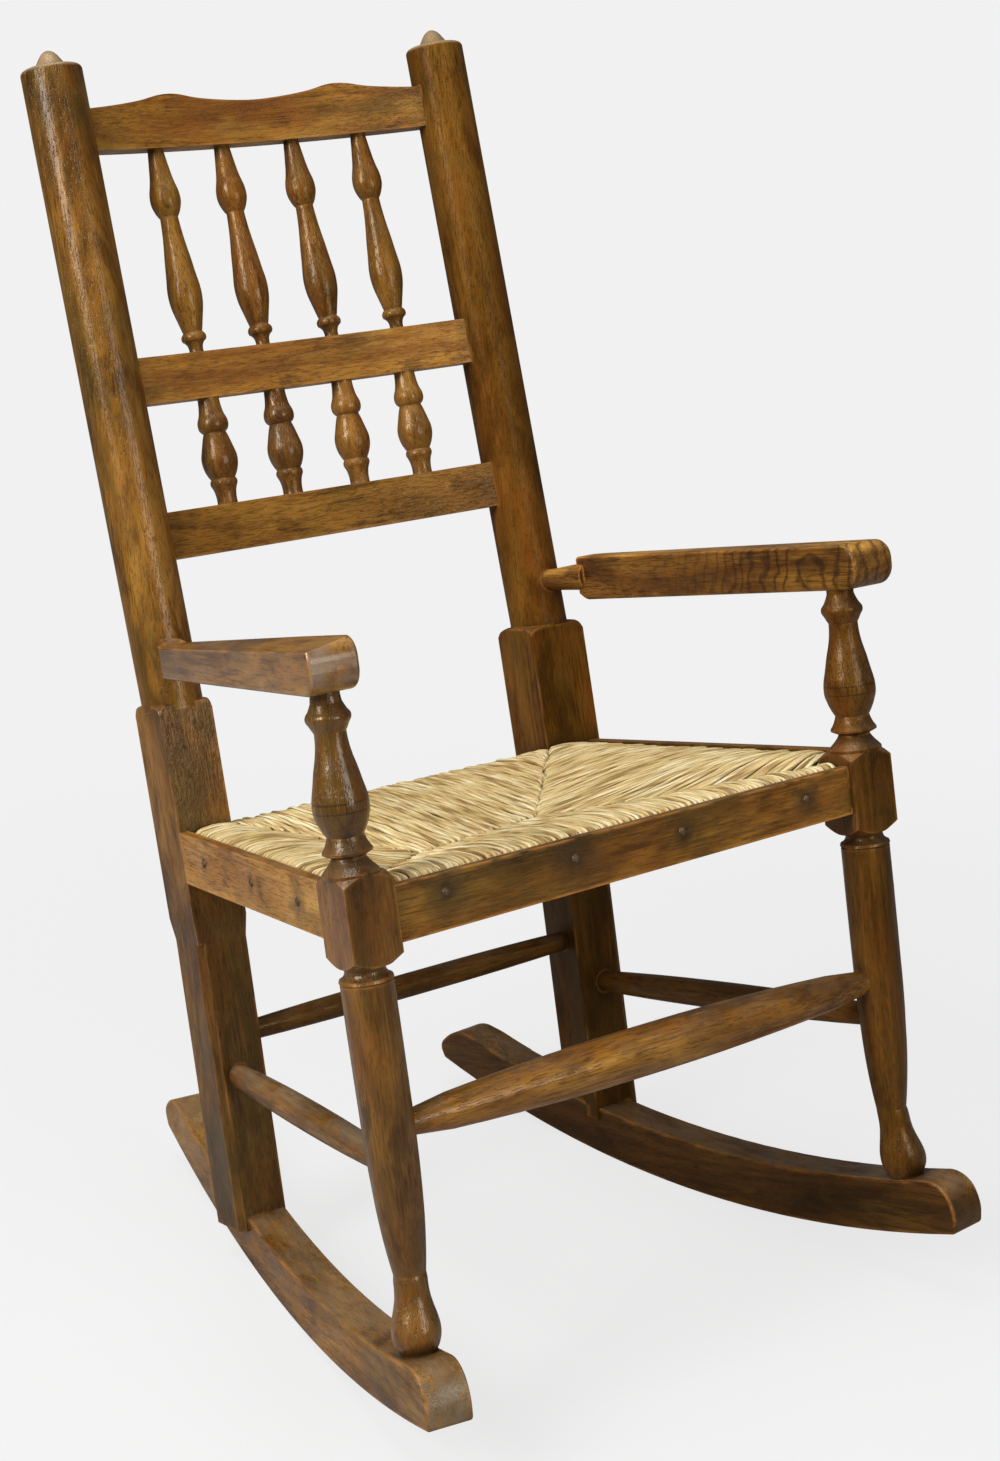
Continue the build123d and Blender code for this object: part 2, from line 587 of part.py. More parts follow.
def scribed_rail(line, leg, post):
    """Seat rail run on a little at both ends and scribed to two blocks, then pinned into them."""
    start, end = Vector(*line[0]), Vector(*line[1])
    on = (end - start).normalized() * 8
    body = seat_rail(tuple(start - on), tuple(end + on), pins=False) - leg - post
    body = max(body.solids(), key=lambda s: s.volume)
    pins = Pos(0, 0, -rail_pin_len) * peg(rail_pin_r, (end - start).length + 2 * rail_pin_len)
    return body + aim(*line) * pins


def rail_bore(start, end):
    """The mortises of a seat rail: its pins, a fit bigger and a little deeper."""
    length = (Vector(*end) - Vector(*start)).length
    bore = Cylinder(rail_pin_r + FIT, length + 2 * rail_pin_len + 2 * BOTTOM,
                    align=(Align.CENTER, Align.CENTER, Align.MIN))
    return aim(start, end) * Pos(0, 0, -rail_pin_len - BOTTOM) * bore


def rail_lines():
    """Start and end of each seat rail, on the faces of the blocks."""
    inner = front_block_x - front_block / 2
    front = ((-inner, front_rail_y, rail_mid_z), (inner, front_rail_y, rail_mid_z))
    inner = post_x - back_block / 2
    back = ((-inner, block_y, back_rail_z), (inner, block_y, back_rail_z))
    rear_face = block_y - back_block / 2
    side = ((side_face_front - side_inset, front_block / 2, side_rail_front_z),
            (side_face_rear - side_inset, rear_face, side_rail_rear_z))
    return front, back, side


def strip_blank(y0, x0, z0, y1, x1, z1):
    """A side strip's board from one end section to the other, outer faces at x0 and x1."""
    with BuildPart() as work:
        for y, x, z in ((y0, x0, z0), (y1, x1, z1)):
            with BuildSketch(Plane(origin=(x - strip_t / 2, y, z + side_strip_h / 2), x_dir=(1, 0, 0),
                                   z_dir=(0, 1, 0))):
                Rectangle(strip_t, side_strip_h)
        loft(ruled=True)
    return work.part


def side_slope(front, rear, y):
    """Value at y of something that changes evenly from the front block to the back block."""
    y0, y1 = front_block / 2, block_y - back_block / 2
    return front + (rear - front) * (y - y0) / (y1 - y0)


def side_strip(leg, post):
    y0, y1 = front_block / 2 - 6, block_y - back_block / 2 + 6
    blank = strip_blank(y0, side_slope(side_face_front, side_face_rear, y0),
                        side_slope(side_strip_front_z, side_strip_rear_z, y0),
                        y1, side_slope(side_face_front, side_face_rear, y1),
                        side_slope(side_strip_front_z, side_strip_rear_z, y1))
    beside = Pos(side_trim, 0, 0)
    return max((blank - leg - post - beside * leg - beside * post).solids(), key=lambda s: s.volume)


def front_strip(legs):
    """The strip over the front rail, a little deeper and lower at its left end."""
    reach = front_block_x - front_block / 2 + 6
    with BuildPart() as work:
        with BuildSketch(Plane.XZ.offset(-strip_face_y)):
            Polygon((-reach, front_strip_left[0]), (reach, front_strip_right[0]), (reach, front_strip_right[1]),
                    (-reach, front_strip_left[1]), align=None)
        extrude(amount=-strip_t)
    return max((work.part - legs).solids(), key=lambda s: s.volume)


def nail(grow=0.0):
    """Round-headed nail driven along +Z, its head seated on Z = 0."""
    if grow:
        return peg(nail_shank_r, nail_len, grow)
    return lathe([(nail_shank_r, nail_len), (nail_shank_r, 0)], [(nail_shank_r, 0), (nail_head_r, 0)],
                 [(nail_head_r, 0), (0.72 * nail_head_r, -0.75 * nail_head_h), (0, -nail_head_h)])


def nail_places():
    """Where the nails stand: on the front strip, and on the right-hand strip's outer face."""
    front = [Location(Plane(origin=(x, strip_face_y, nail_z), z_dir=(0, 1, 0))) for x in front_nails]
    run = block_y - (back_block + front_block) / 2
    inward = (-run, side_face_rear - side_face_front, 0)
    side = [Location(Plane(origin=(side_slope(side_face_front, side_face_rear, y), y, nail_z),
                           z_dir=inward)) for y in side_nails]
    return front, side


def rush_seat(wood):
    """The woven seat as one soft slab round its rails: flat below, rounded and dished on top."""
    top = front_strip_z + strip_h + rush_over
    under = front_strip_z + rush_under
    back_y = block_y + rail_w / 2 + rush_skin
    front_half = side_slope(side_face_front, side_face_rear, rush_front_y) - strip_t - SOFT_FIT
    back_half = side_slope(side_face_front, side_face_rear, back_y) - strip_t - SOFT_FIT
    y0, y1 = rush_front_y + SOFT_FIT, back_y
    with BuildPart() as slab:
        with BuildSketch(Plane.XY.offset(under)):
            Polygon((-front_half, y0), (front_half, y0), (back_half, y1), (-back_half, y1), align=None)
        extrude(amount=top - under)
        split(bisect_by=Plane(origin=(0, y0, top), z_dir=(0, rush_fall, y1 - y0)), keep=Keep.BOTTOM)
        fillet(slab.faces().sort_by(Axis.Z)[-1].edges(), rush_round)
    ball = (rush_dish_reach ** 2 + rush_dish ** 2) / (2 * rush_dish)
    dish = Pos(0, (y0 + y1) / 2, top - rush_fall / 2 + ball - rush_dish) * Sphere(ball)
    return max((slab.part - dish - wood).solids(), key=lambda s: s.volume)


# ---- build the pieces -----------------------------------------------------------------------------
RIGHT = dict(rocker=(rocker_tail_right, rocker_deep_tail_right), post=(back_block_right, back_leg_right, block_rise_right),
             arm=(arm_drop_right, arm_lift_right, arm_under_right, arm_nose_right),
             side_z=side_stretcher_right_z, back_z=(back_stretcher_left_z, back_stretcher_right_z))
LEFT = dict(rocker=(rocker_tail_left, rocker_deep_tail_left), post=(back_block_left, back_leg_left, block_rise_left),
            arm=(arm_drop_left, arm_lift_left, arm_under_left, arm_nose_left),
            side_z=side_stretcher_left_z, back_z=(back_stretcher_right_z, back_stretcher_left_z))

rails = {"crest_rail": rail_blank(crest_at, crest_end_h + crest_hump_h + 4, crest_bow) & crest_outline(),
         "middle_rail": rail_blank(mid_rail_at, mid_rail_h, rail_bow),
         "lower_rail": rail_blank(low_rail_at, low_rail_h, rail_bow)}
mortises = [BACK * rail_blank(at, height, depth, FIT) for at, height, depth in
            ((crest_at, crest_end_h, crest_bow), (mid_rail_at, mid_rail_h, rail_bow),
             (low_rail_at, low_rail_h, rail_bow))]
spindle_rows = (("upper_spindle", upper_spindle, upper_spindle_x, mid_rail_at + mid_rail_h, crest_at, crest_bow),
                ("lower_spindle", lower_spindle, lower_spindle_x, low_rail_at + low_rail_h, mid_rail_at, rail_bow))

pieces = {}
for name, body, places, foot, head, head_bow in spindle_rows:
    for count, x in enumerate(places, 1):
        start, end = (x, bow(x, rail_bow), foot), (x, bow(x, head_bow), head)
        pieces[f"{name}_{count}"] = BACK * spindle(body, start, end)
        hole = spindle_pins(start, end, FIT)
        rails = {key: rail - hole for key, rail in rails.items()}
pieces.update({key: BACK * rail for key, rail in rails.items()})

front_line, back_line, side_line = rail_lines()
right, left, posts, legs = {}, {}, [], []
for side, sizes in ((right, RIGHT), (left, LEFT)):
    under = sizes["arm"][2]
    side["rocker"] = rocker(*sizes["rocker"])
    side["back_post"] = back_post(side["rocker"], mortises, *sizes["post"]) - arm_tenon(FIT)
    side["front_leg"] = front_leg(side["rocker"], under)
    side["arm"] = arm(*sizes["arm"]) - arm_seat(under, FIT)
    side["seat_rail"] = scribed_rail(side_line, side["front_leg"], side["back_post"])
    side["seat_strip"] = side_strip(side["front_leg"], side["back_post"])
    posts.append(side["back_post"])
    legs.append(side["front_leg"])
    bores = sockets(sizes["side_z"], sizes["back_z"]) + [rail_bore(*line) for line in (front_line, back_line, side_line)]
    for key in ("front_leg", "back_post"):
        for bore in bores:
            side[key] = side[key] - bore
    side["stretcher"] = plain_stretcher(*side_stretcher_ends(*sizes["side_z"]), side_stretcher_r, side_stretcher_end_r)

pieces["stretcher_front"] = front_stretcher()
pieces["stretcher_back"] = plain_stretcher(*back_stretcher_ends(back_stretcher_left_z, back_stretcher_right_z),
                                           back_stretcher_r, back_stretcher_end_r)
pieces["seat_strip_front"] = front_strip(legs[0] + mirrored(legs[1]))
pieces["seat_rail_front"] = scribed_rail(front_line, legs[0], mirrored(legs[1]))
pieces["seat_rail_back"] = scribed_rail(back_line, posts[0], mirrored(posts[1]))
for key, piece in right.items():
    pieces[f"{key}_right"] = piece
for key, piece in left.items():
    pieces[f"{key}_left"] = mirrored(piece)

# the rush goes round the rails and clears the blocks
slack = Pos(front_block_x, 0, rail_mid_z) * Box(*[front_block + 2 * SOFT_FIT] * 2, slack_tall)
slack += Pos(post_x, block_y, rail_mid_z) * Box(*[back_block_right + 4 * SOFT_FIT + block_lean_slack] * 2, slack_tall)
run = (Vector(*side_line[1]) - Vector(*side_line[0])) * slack_run_on
slack += seat_rail(tuple(Vector(*side_line[0]) - run), tuple(Vector(*side_line[1]) + run), grow=SOFT_FIT, pins=False)
slack += mirrored(slack)
for line in (front_line, back_line):
    slack += seat_rail(*line, grow=SOFT_FIT, pins=False)
pieces["rush_seat"] = rush_seat(slack)

# nails through the strips, the rush and into the rails
front_places, side_places = nail_places()
pieces["nails_front"] = Compound([place * nail() for place in front_places])
nails_right = Compound([place * nail() for place in side_places])
pieces["nails_right"], pieces["nails_left"] = nails_right, mirrored(nails_right)
side_holes = [place * nail(FIT) for place in side_places]
front_holes = [place * nail(FIT) for place in front_places]
all_holes = front_holes + side_holes + [mirrored(hole) for hole in side_holes]
for key in ("seat_strip_front", "seat_rail_front", "rush_seat", "seat_strip_right", "seat_rail_right",
            "seat_strip_left", "seat_rail_left"):
    for hole in all_holes:
        pieces[key] = pieces[key] - hole


# ---- tip the chair to its lean at rest and stand it on the floor --------------------------------------
def density(name):
    return RUSH if name == "rush_seat" else IRON if name.startswith("nails") else WOOD


mass = sum(density(key) * piece.volume for key, piece in pieces.items())
balance = sum((density(key) * piece.volume * piece.center(CenterOf.MASS) for key, piece in pieces.items()),
              Vector(0, 0, 0)) / mass
arc_y = sole_at * cos(radians(rocker_splay))
lean = degrees(atan2(balance.Y - arc_y, sole_z - balance.Z))
tipped = {key: Rot(X=-lean) * piece for key, piece in pieces.items()}
box = Compound([solid for piece in tipped.values() for solid in piece.solids()]).bounding_box()
stand = Pos(-box.center().X, -box.center().Y, -box.min.Z)

for key, piece in sorted(tipped.items()):
    node = stand * piece
    solids = node.solids()
    node = solids[0] if len(solids) == 1 else Compound(solids)
    node.label = key
    export_step(node, f"parts/{key}.step")
    print(f"{key:20s} solids {len(solids)}  volume {node.volume / 1000:8.2f} cm3")
print("lean at rest", round(lean, 3), "degrees; balance", [round(v, 1) for v in balance],
      "stand", [round(v, 3) for v in stand.position], "box", [round(v, 1) for v in box.size])
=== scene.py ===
# %% [markdown]
# # A turned rocking chair with a rush seat
#
# This lesson dresses a chair whose joinery is already modelled: posts, rails, spindles, arms, rockers.
# Blender adds what a joiner's drawing leaves out: the colour and grain of old waxed wood, the dirt in
# the turnings, the worn edges, and a seat woven from twisted rush. The joinery is never moved.

import math
import random

import bmesh
import bpy
import numpy as np
from mathutils import Matrix, Vector


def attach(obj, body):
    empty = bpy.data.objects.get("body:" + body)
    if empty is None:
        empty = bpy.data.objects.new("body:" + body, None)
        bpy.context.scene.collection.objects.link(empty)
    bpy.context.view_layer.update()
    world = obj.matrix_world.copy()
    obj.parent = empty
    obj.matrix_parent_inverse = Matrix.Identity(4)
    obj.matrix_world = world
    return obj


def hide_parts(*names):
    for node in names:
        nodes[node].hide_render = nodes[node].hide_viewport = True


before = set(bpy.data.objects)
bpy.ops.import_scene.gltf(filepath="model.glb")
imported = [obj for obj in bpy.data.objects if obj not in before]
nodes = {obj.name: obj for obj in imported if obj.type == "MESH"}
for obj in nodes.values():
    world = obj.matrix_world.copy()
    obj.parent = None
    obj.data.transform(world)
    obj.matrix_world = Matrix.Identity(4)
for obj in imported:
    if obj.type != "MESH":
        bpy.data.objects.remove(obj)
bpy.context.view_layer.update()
print(len(nodes), "pieces of joinery")

# %% [markdown]
# ## The joiner's frame
#
# The chair stands tipped back on its rockers, but its maker measured it upright, in millimetres. One
# helper turns such a measure into a place in the scene, so that everything below can be written in
# the maker's numbers. A matrix is the right tool, because a tip about one line is all that differs.

# %% From the joiner's frame to the floor
LEAN = math.radians(9.721)
STAND = Vector((0.000406, -0.277402, 0.092129))
TIP = Matrix.Rotation(-LEAN, 4, "X")


def chair(x, y, z):
    """A point of the upright chair, in millimetres, as a place in the scene."""
    return STAND + (TIP @ Vector((x, y, z))) * 0.001


def along(x, y, z):
    """A direction of the upright chair, as a direction in the scene."""
    return (TIP @ Vector((x, y, z))).normalized()


print("top of the front leg's block:", chair(241, 0, 370))

# %% [markdown]
# ## The viewpoint
#
# The camera stands in front of the chair, to the sitter's right and about as high as the top of its back,
# far enough away that the back legs look only slightly smaller. It could be aimed with a constraint, but
# its three directions written out as a matrix also keep the slight roll of a camera held by hand.

# %% Camera
RIGHT_WAY = along(0.837262, -0.532021, -0.126275)
UP_WAY = along(0.186209, 0.060286, 0.980659)
BACK_WAY = along(-0.514119, -0.844582, 0.149542)
EYE = chair(-1101.51, -1637.87, 737.88)

lens = bpy.data.cameras.new("viewpoint")
lens.sensor_fit = "HORIZONTAL"
lens.sensor_width = 36.0
lens.lens = 92.54
lens.shift_x = 0.0059
lens.shift_y = 0.0040
lens.clip_end = 200.0
camera = bpy.data.objects.new("viewpoint", lens)
place = Matrix((RIGHT_WAY, UP_WAY, BACK_WAY)).transposed().to_4x4()
place.translation = EYE
camera.matrix_world = place
bpy.context.scene.collection.objects.link(camera)
bpy.context.scene.camera = camera
print("camera stands at", place.translation)

# %% [markdown]
# ## Words for the node graphs
#
# A material in Blender is a graph of nodes. It could be drawn by hand in the editor, but a finish with
# sixty nodes is easier to read, and to repeat for thirty pieces, as a few lines of arithmetic. So the
# steps that come again and again get a short name each.


# %% Add a node, start a material
def add(tree, kind, inputs=None, **settings):
    """A shader node with its settings, and its inputs set or linked."""
    node = tree.nodes.new(kind)
    for key, value in settings.items():
        setattr(node, key, value)
    for key, value in (inputs or {}).items():
        if isinstance(value, bpy.types.NodeSocket):
            tree.links.new(value, node.inputs[key])
        else:
            node.inputs[key].default_value = value
    return node


def new_material(name):
    """An empty material and its node tree."""
    material = bpy.data.materials.new(name)
    material.use_nodes = True
    material.node_tree.nodes.clear()
    return material, material.node_tree


print("materials that came with the joinery:", len(bpy.data.materials))


# %% Arithmetic with sockets
def math_node(tree, operation, a, b=0.0):
    """One step of arithmetic between sockets or numbers."""
    return add(tree, "ShaderNodeMath", {0: a, 1: b}, operation=operation).outputs[0]


def plus(tree, a, b):
    return math_node(tree, "ADD", a, b)


def less(tree, a, b):
    return math_node(tree, "SUBTRACT", a, b)


def times(tree, a, b):
    return math_node(tree, "MULTIPLY", a, b)


def between(tree, value, low, high, out_low=0.0, out_high=1.0, **settings):
    """Maps low..high to out_low..out_high, and holds the ends."""
    return add(tree, "ShaderNodeMapRange", {"Value": value, "From Min": low, "From Max": high,
                                            "To Min": out_low, "To Max": out_high}, **settings).outputs[0]


def measure(tree, operation, a, b=None):
    """A number from one or two vectors: their dot product, their distance, a length."""
    inputs = {0: a} if b is None else {0: a, 1: tuple(b) if isinstance(b, Vector) else b}
    return add(tree, "ShaderNodeVectorMath", inputs, operation=operation).outputs["Value"]


def noise(tree, where, scale, detail, **inputs):
    """Cloudy values round 0.5."""
    sockets = {"Vector": where, "Scale": scale, "Detail": detail, **inputs}
    return add(tree, "ShaderNodeTexNoise", sockets).outputs["Fac"]


print("words for arithmetic:", [word.__name__ for word in (plus, less, times, between, measure, noise)])


# %% Colour with sockets
def ramp(tree, factor, *stops):
    """A colour ramp from (place, colour) stops."""
    node = add(tree, "ShaderNodeValToRGB", {"Fac": factor})
    bar = node.color_ramp
    for count, (spot, colour) in enumerate(stops):
        element = bar.elements[count] if count < 2 else bar.elements.new(spot)
        element.position = spot
        element.color = (*colour, 1.0)
    return node.outputs["Color"]


def mix(tree, factor, a, b, blend="MIX"):
    """A mix of two colours."""
    node = add(tree, "ShaderNodeMix", data_type="RGBA", blend_type=blend)
    for key, value in ((0, factor), (6, a), (7, b)):
        if isinstance(value, bpy.types.NodeSocket):
            tree.links.new(value, node.inputs[key])
        else:
            node.inputs[key].default_value = value if key == 0 else (*value, 1.0)
    return node.outputs[2]


print("words for colour:", [word.__name__ for word in (ramp, mix)])

# %% [markdown]
# ## A pale floor
#
# A chair is shown off on a roll of pale paper that curves up behind it. A bent sheet would do, but its
# bend catches the light. Here the floor is flat, takes the chair's soft shadow, and fades with distance
# into the very colour of the backdrop, so that no edge is seen. Only the camera sees that pale colour:
# to the lamps' bounced light the floor is a dull grey, which keeps the undersides of the wood dark.

# %% Floor
PALE = 0.8796                        # the backdrop, as linear light
FADE_FROM, FADE_TO = 0.55, 1.7       # metres from under the chair
DULL_FLOOR = (0.42, 0.41, 0.40)
SEEN_FLOOR = (0.90, 0.90, 0.90)
FLOOR_SIZE = 60.0


def pale_floor():
    """Pale paper: it takes a soft shadow near the chair and melts into the backdrop farther out."""
    material, tree = new_material("pale_floor")
    position = add(tree, "ShaderNodeNewGeometry").outputs["Position"]
    far = between(tree, measure(tree, "LENGTH", position), FADE_FROM, FADE_TO, 0.86, 1.0,
                  interpolation_type="SMOOTHSTEP")
    seen = add(tree, "ShaderNodeLightPath").outputs["Is Camera Ray"]
    near = add(tree, "ShaderNodeBsdfDiffuse", {"Color": mix(tree, seen, DULL_FLOOR, SEEN_FLOOR)})
    glow = add(tree, "ShaderNodeEmission", {"Color": (PALE, PALE, PALE, 1.0), "Strength": 1.0})
    both = add(tree, "ShaderNodeMixShader", {0: times(tree, far, seen), 1: near.outputs[0], 2: glow.outputs[0]})
    add(tree, "ShaderNodeOutputMaterial", {"Surface": both.outputs[0]})
    return material


bpy.ops.mesh.primitive_plane_add(size=FLOOR_SIZE, location=(0, 0, 0))
floor = bpy.context.object
floor.name = "floor"
floor.data.materials.append(pale_floor())
print("floor", FLOOR_SIZE, "m wide, plain backdrop from", FADE_TO, "m out")

# %% [markdown]
# ## The room
#
# Round the chair there is a studio: a pale wall in front of the camera and a dim room everywhere else.
# Modelled walls would do it too, but the world's own colour costs nothing. What the camera sees of it is
# pale. What the wood sees of it is weak, so that shadows stay deep and the wax isn't veiled with grey.

# %% Backdrop
ROOM_LIGHT = 0.11


def backdrop():
    """Pale wall to the eye, a dimmer room to everything else."""
    world = bpy.data.worlds.new("room")
    bpy.context.scene.world = world
    world.use_nodes = True
    tree = world.node_tree
    tree.nodes.clear()
    ray = add(tree, "ShaderNodeLightPath")
    seen = math_node(tree, "MAXIMUM", ray.outputs["Is Camera Ray"], ray.outputs["Is Transmission Ray"])
    plain = add(tree, "ShaderNodeBackground", {"Color": (PALE, PALE, PALE, 1.0), "Strength": 1.0})
    room = add(tree, "ShaderNodeBackground", {"Color": (1.0, 0.98, 0.94, 1.0), "Strength": ROOM_LIGHT})
    both = add(tree, "ShaderNodeMixShader", {0: seen, 1: room.outputs[0], 2: plain.outputs[0]})
    add(tree, "ShaderNodeOutputWorld", {"Surface": both.outputs[0]})


backdrop()
bpy.context.scene.view_settings.view_transform = "Standard"
print("room light", ROOM_LIGHT)

# %% [markdown]
# ## Soft boxes
#
# Old wood needs a broad lamp from the side to draw a soft streak along each turning, a weak one in front
# to keep the far side readable, and one above for the arms and the seat. Point lamps would give small
# hard glints, and sunlight hard shadows, so area lamps are used, each wider than the chair is tall.


# %% Lamps
def soft_box(name, spot, target, width, height, watts):
    """Rectangular lamp that faces its target."""
    light = bpy.data.lights.new(name, "AREA")
    light.shape = "RECTANGLE"
    light.size, light.size_y = width, height
    light.energy = watts
    lamp = bpy.data.objects.new(name, light)
    lamp.location = spot
    lamp.rotation_euler = (Vector(target) - Vector(spot)).to_track_quat("-Z", "Y").to_euler()
    bpy.context.scene.collection.objects.link(lamp)
    print(name, watts, "watts")


soft_box("key_box", (-2.7, -0.5, 2.2), (0.0, 0.0, 0.5), 1.3, 1.6, 86)
soft_box("front_box", (0.6, -3.0, 1.5), (0.0, 0.0, 0.5), 1.4, 1.4, 32)
soft_box("top_box", (-0.4, 0.2, 3.0), (0.0, 0.0, 0.4), 1.6, 1.6, 42)

# %% [markdown]
# ## Colours of old waxed wood
#
# The wood is ash, with elm in the arms, oiled, waxed and handled for more than a century. No two pieces
# of it have darkened alike: a rail that backs rub stays tan, and the right front leg is made nearly black.
# A fixed colour for each piece would need thirty sets of numbers, so one number, the depth, slides each
# piece between a pale and a deep set of three tones.

# %% Colours of the wood, as linear light
NEAR_BLACK = (0.017, 0.010, 0.005)
WORN = (0.58, 0.235, 0.050)
DUST = (0.300, 0.235, 0.155)
OLIVE = (0.075, 0.050, 0.009)
RED = (0.230, 0.062, 0.008)
SMALL_SHADE = (0.40, 0.33, 0.26)
BROAD_SHADE = (0.54, 0.45, 0.36)
PALE_TONES = ((0.175, 0.064, 0.006), (0.500, 0.218, 0.024), (0.720, 0.390, 0.068))
DEEP_TONES = ((0.010, 0.003, 0.0004), (0.044, 0.0115, 0.0006), (0.120, 0.034, 0.002))


def tan_of(depth):
    """Dark, middle and light tone of a piece: depth 0 is pale tan, 1 nearly black, below 0 paler still."""
    return [tuple(p * (1 - depth) + d * depth for p, d in zip(a, b)) for a, b in zip(PALE_TONES, DEEP_TONES)]


print("middle tones, pale and deep:", tan_of(0.0)[1], tan_of(1.0)[1])

# %% [markdown]
# ## Fibres
#
# Every streak, pore and stain in wood is long with the fibres and narrow across them. An image of wood
# could be wrapped round each piece, but it would repeat, and it would swim on the turnings. Noise that
# fills space needs no unwrapping. The space is turned until the fibres run along its Z, then squeezed
# across, so that whatever noise is read from it comes out stretched like grain.


# %% Noise along the fibres
STREAK = (420.0, 17.0)               # clouds to the metre, across the fibres and along them
FINE_STREAK = (640.0, 24.0)
PORE = (850.0, 85.0)


class Timber:
    """The wood of one piece: its node tree, its tones, and noise stretched along its fibres."""

    def __init__(self, name, grain, seed, depth):
        self.material, self.tree = new_material(name)
        self.depth = depth
        self.dark, self.middle, self.light = tan_of(depth)
        rng = random.Random(seed)
        turn = Vector(grain).normalized().rotation_difference(Vector((0, 0, 1))).to_euler()
        shift = (rng.uniform(-3, 3), rng.uniform(-3, 3), rng.uniform(-3, 3))
        self.where = add(self.tree, "ShaderNodeTexCoord").outputs["Object"]
        self.facing = add(self.tree, "ShaderNodeNewGeometry").outputs["Normal"]
        self.fibre = add(self.tree, "ShaderNodeMapping", {"Vector": self.where, "Rotation": turn,
                                                          "Location": shift}).outputs[0]
        self.streaks = self.stretched(*STREAK, 3.0, 0.62)
        self.fine = self.stretched(*FINE_STREAK, 2.0, 0.6)
        self.pores = between(self.tree, self.stretched(*PORE, 2.0, 0.5), 0.54, 0.62)
        self.ragged = plus(self.tree, times(self.tree, less(self.tree, self.streaks, 0.5), 0.38),
                           times(self.tree, less(self.tree, self.fine, 0.5), 0.30))

    def stretched(self, across, lengthwise, detail=3.0, rough=0.55, bend=0.0):
        """Noise with so many clouds to the metre across the fibres, and along them."""
        squeezed = add(self.tree, "ShaderNodeMapping", {"Vector": self.fibre, "Scale": (across, across, lengthwise)})
        return noise(self.tree, squeezed.outputs[0], 1.0, detail, Roughness=rough, Distortion=bend)

    def patch(self, across, lengthwise, low, high, bend=0.0):
        """Broad patches whose borders are ragged along the fibres."""
        cloud = plus(self.tree, self.stretched(across, lengthwise, 4.0, 0.6, bend), self.ragged)
        return between(self.tree, cloud, low, high)


for label, (across, lengthwise) in (("streaks", STREAK), ("fine streaks", FINE_STREAK), ("pores", PORE)):
    print(label, "are", round(across / lengthwise), "times as long as they are wide")

# %% [markdown]
# ## Growth rings and pores
#
# Rings show as long loops where a flat face cuts them. They could be modelled as cones round a trunk,
# but that needs the place of each board in its tree. The contour lines of a slow noise close into the
# same loops, so a sine of that noise draws them. Ash also has open pores, which hold dark wax as dashes.

# %% Bare wood
RING_RATE = 95.0                     # radians of the sine to one unit of the slow noise
SHARE = {"rings": 0.20, "streaks": 0.36, "fine": 0.48, "slow": 0.60}


def bare_wood(timber, figure, pores):
    """The wood's own colour: rings, streaks and pores."""
    tree = timber.tree
    slow = timber.stretched(13.0, 1.6, 1.5, 0.45)
    rings = between(tree, math_node(tree, "SINE", times(tree, slow, RING_RATE)), -1.0, 1.0)
    value = plus(tree, times(tree, rings, SHARE["rings"] * figure), times(tree, timber.streaks, SHARE["streaks"]))
    value = plus(tree, value, times(tree, timber.fine, SHARE["fine"]))
    value = plus(tree, value, times(tree, slow, SHARE["slow"]))
    tone = between(tree, value, 0.53 + 0.10 * figure, 0.91 + 0.10 * figure)
    base = ramp(tree, tone, (0.0, timber.dark), (1.0, timber.light), (0.48, timber.middle))
    return mix(tree, times(tree, timber.pores, pores), base, tuple(0.45 * c for c in timber.dark))


print("grain is made of", SHARE, "and", round(RING_RATE / (2 * math.pi)), "rings to one unit of noise")

# %% [markdown]
# ## A century of handling
#
# Oil and smoke turn patches olive or red, hands leave darker ones, and dust settles on what faces up.
# These could be painted by hand, but paint would have to be laid again after every change of shape. So
# each is a patch of noise, and the dust also asks which way the surface faces.


# %% Stains and dust
OLIVE_PATCH = (16.0, 6.0, 0.47, 0.62, 0.6)     # size across and along the fibres, borders, bend
RED_PATCH = (21.0, 5.0, 0.47, 0.64, 0.3)
SMALL_PATCH = (40.0, 15.0, 0.52, 0.65, 0.6)
BROAD_PATCH = (9.0, 5.0, 0.38, 0.62)
LIGHT_PATCH = (27.0, 9.0, 0.54, 0.70)
DUST_PATCH = (30.0, 22.0, 0.36, 0.60)


def stained(timber, base, olive, red):
    """Broad stains, ragged along the fibres, and a few patches of paler wood."""
    tree = timber.tree
    for patch, strength, colour, blend in ((OLIVE_PATCH, olive, OLIVE, "MIX"),
                                           (RED_PATCH, red, RED, "MIX"),
                                           (SMALL_PATCH, 0.9, SMALL_SHADE, "MULTIPLY"),
                                           (BROAD_PATCH, 0.85, BROAD_SHADE, "MULTIPLY"),
                                           (LIGHT_PATCH, 0.38, timber.light, "MIX")):
        base = mix(tree, times(tree, timber.patch(*patch), strength), base, colour, blend)
    return base


def dusty(timber, base, dust):
    """Dust on what faces up."""
    tree = timber.tree
    upward = add(tree, "ShaderNodeSeparateXYZ", {0: timber.facing}).outputs[2]
    lying = times(tree, between(tree, upward, 0.25, 0.85), timber.patch(*DUST_PATCH))
    return mix(tree, times(tree, lying, dust), base, DUST)


print("broad stains are about", round(1000 / BROAD_PATCH[0]), "mm across, small ones", round(1000 / SMALL_PATCH[0]))

# %% [markdown]
# ## Dirt and painted shade in the hollows, wear on the arrises
#
# Cloth never reaches the bottom of a turned groove, so dirt stays there, and it always reaches a sharp
# edge, so that goes bare and orange. Both could be painted on the points of the mesh, but the points are
# too few for a line that thin. So they are read from the shape as it renders: light that can't get in
# marks the hollows, and an arris is where the true normal leaves a rounded one. The dark laid in the
# hollows and where parts meet is dirt and painted shade in one.

# %% Dirt, painted shade and worn edges
HOLLOW = 0.016                       # how far the dirt and painted shade reach out of a corner, in metres
ARRIS = 0.0040                       # width of a worn edge


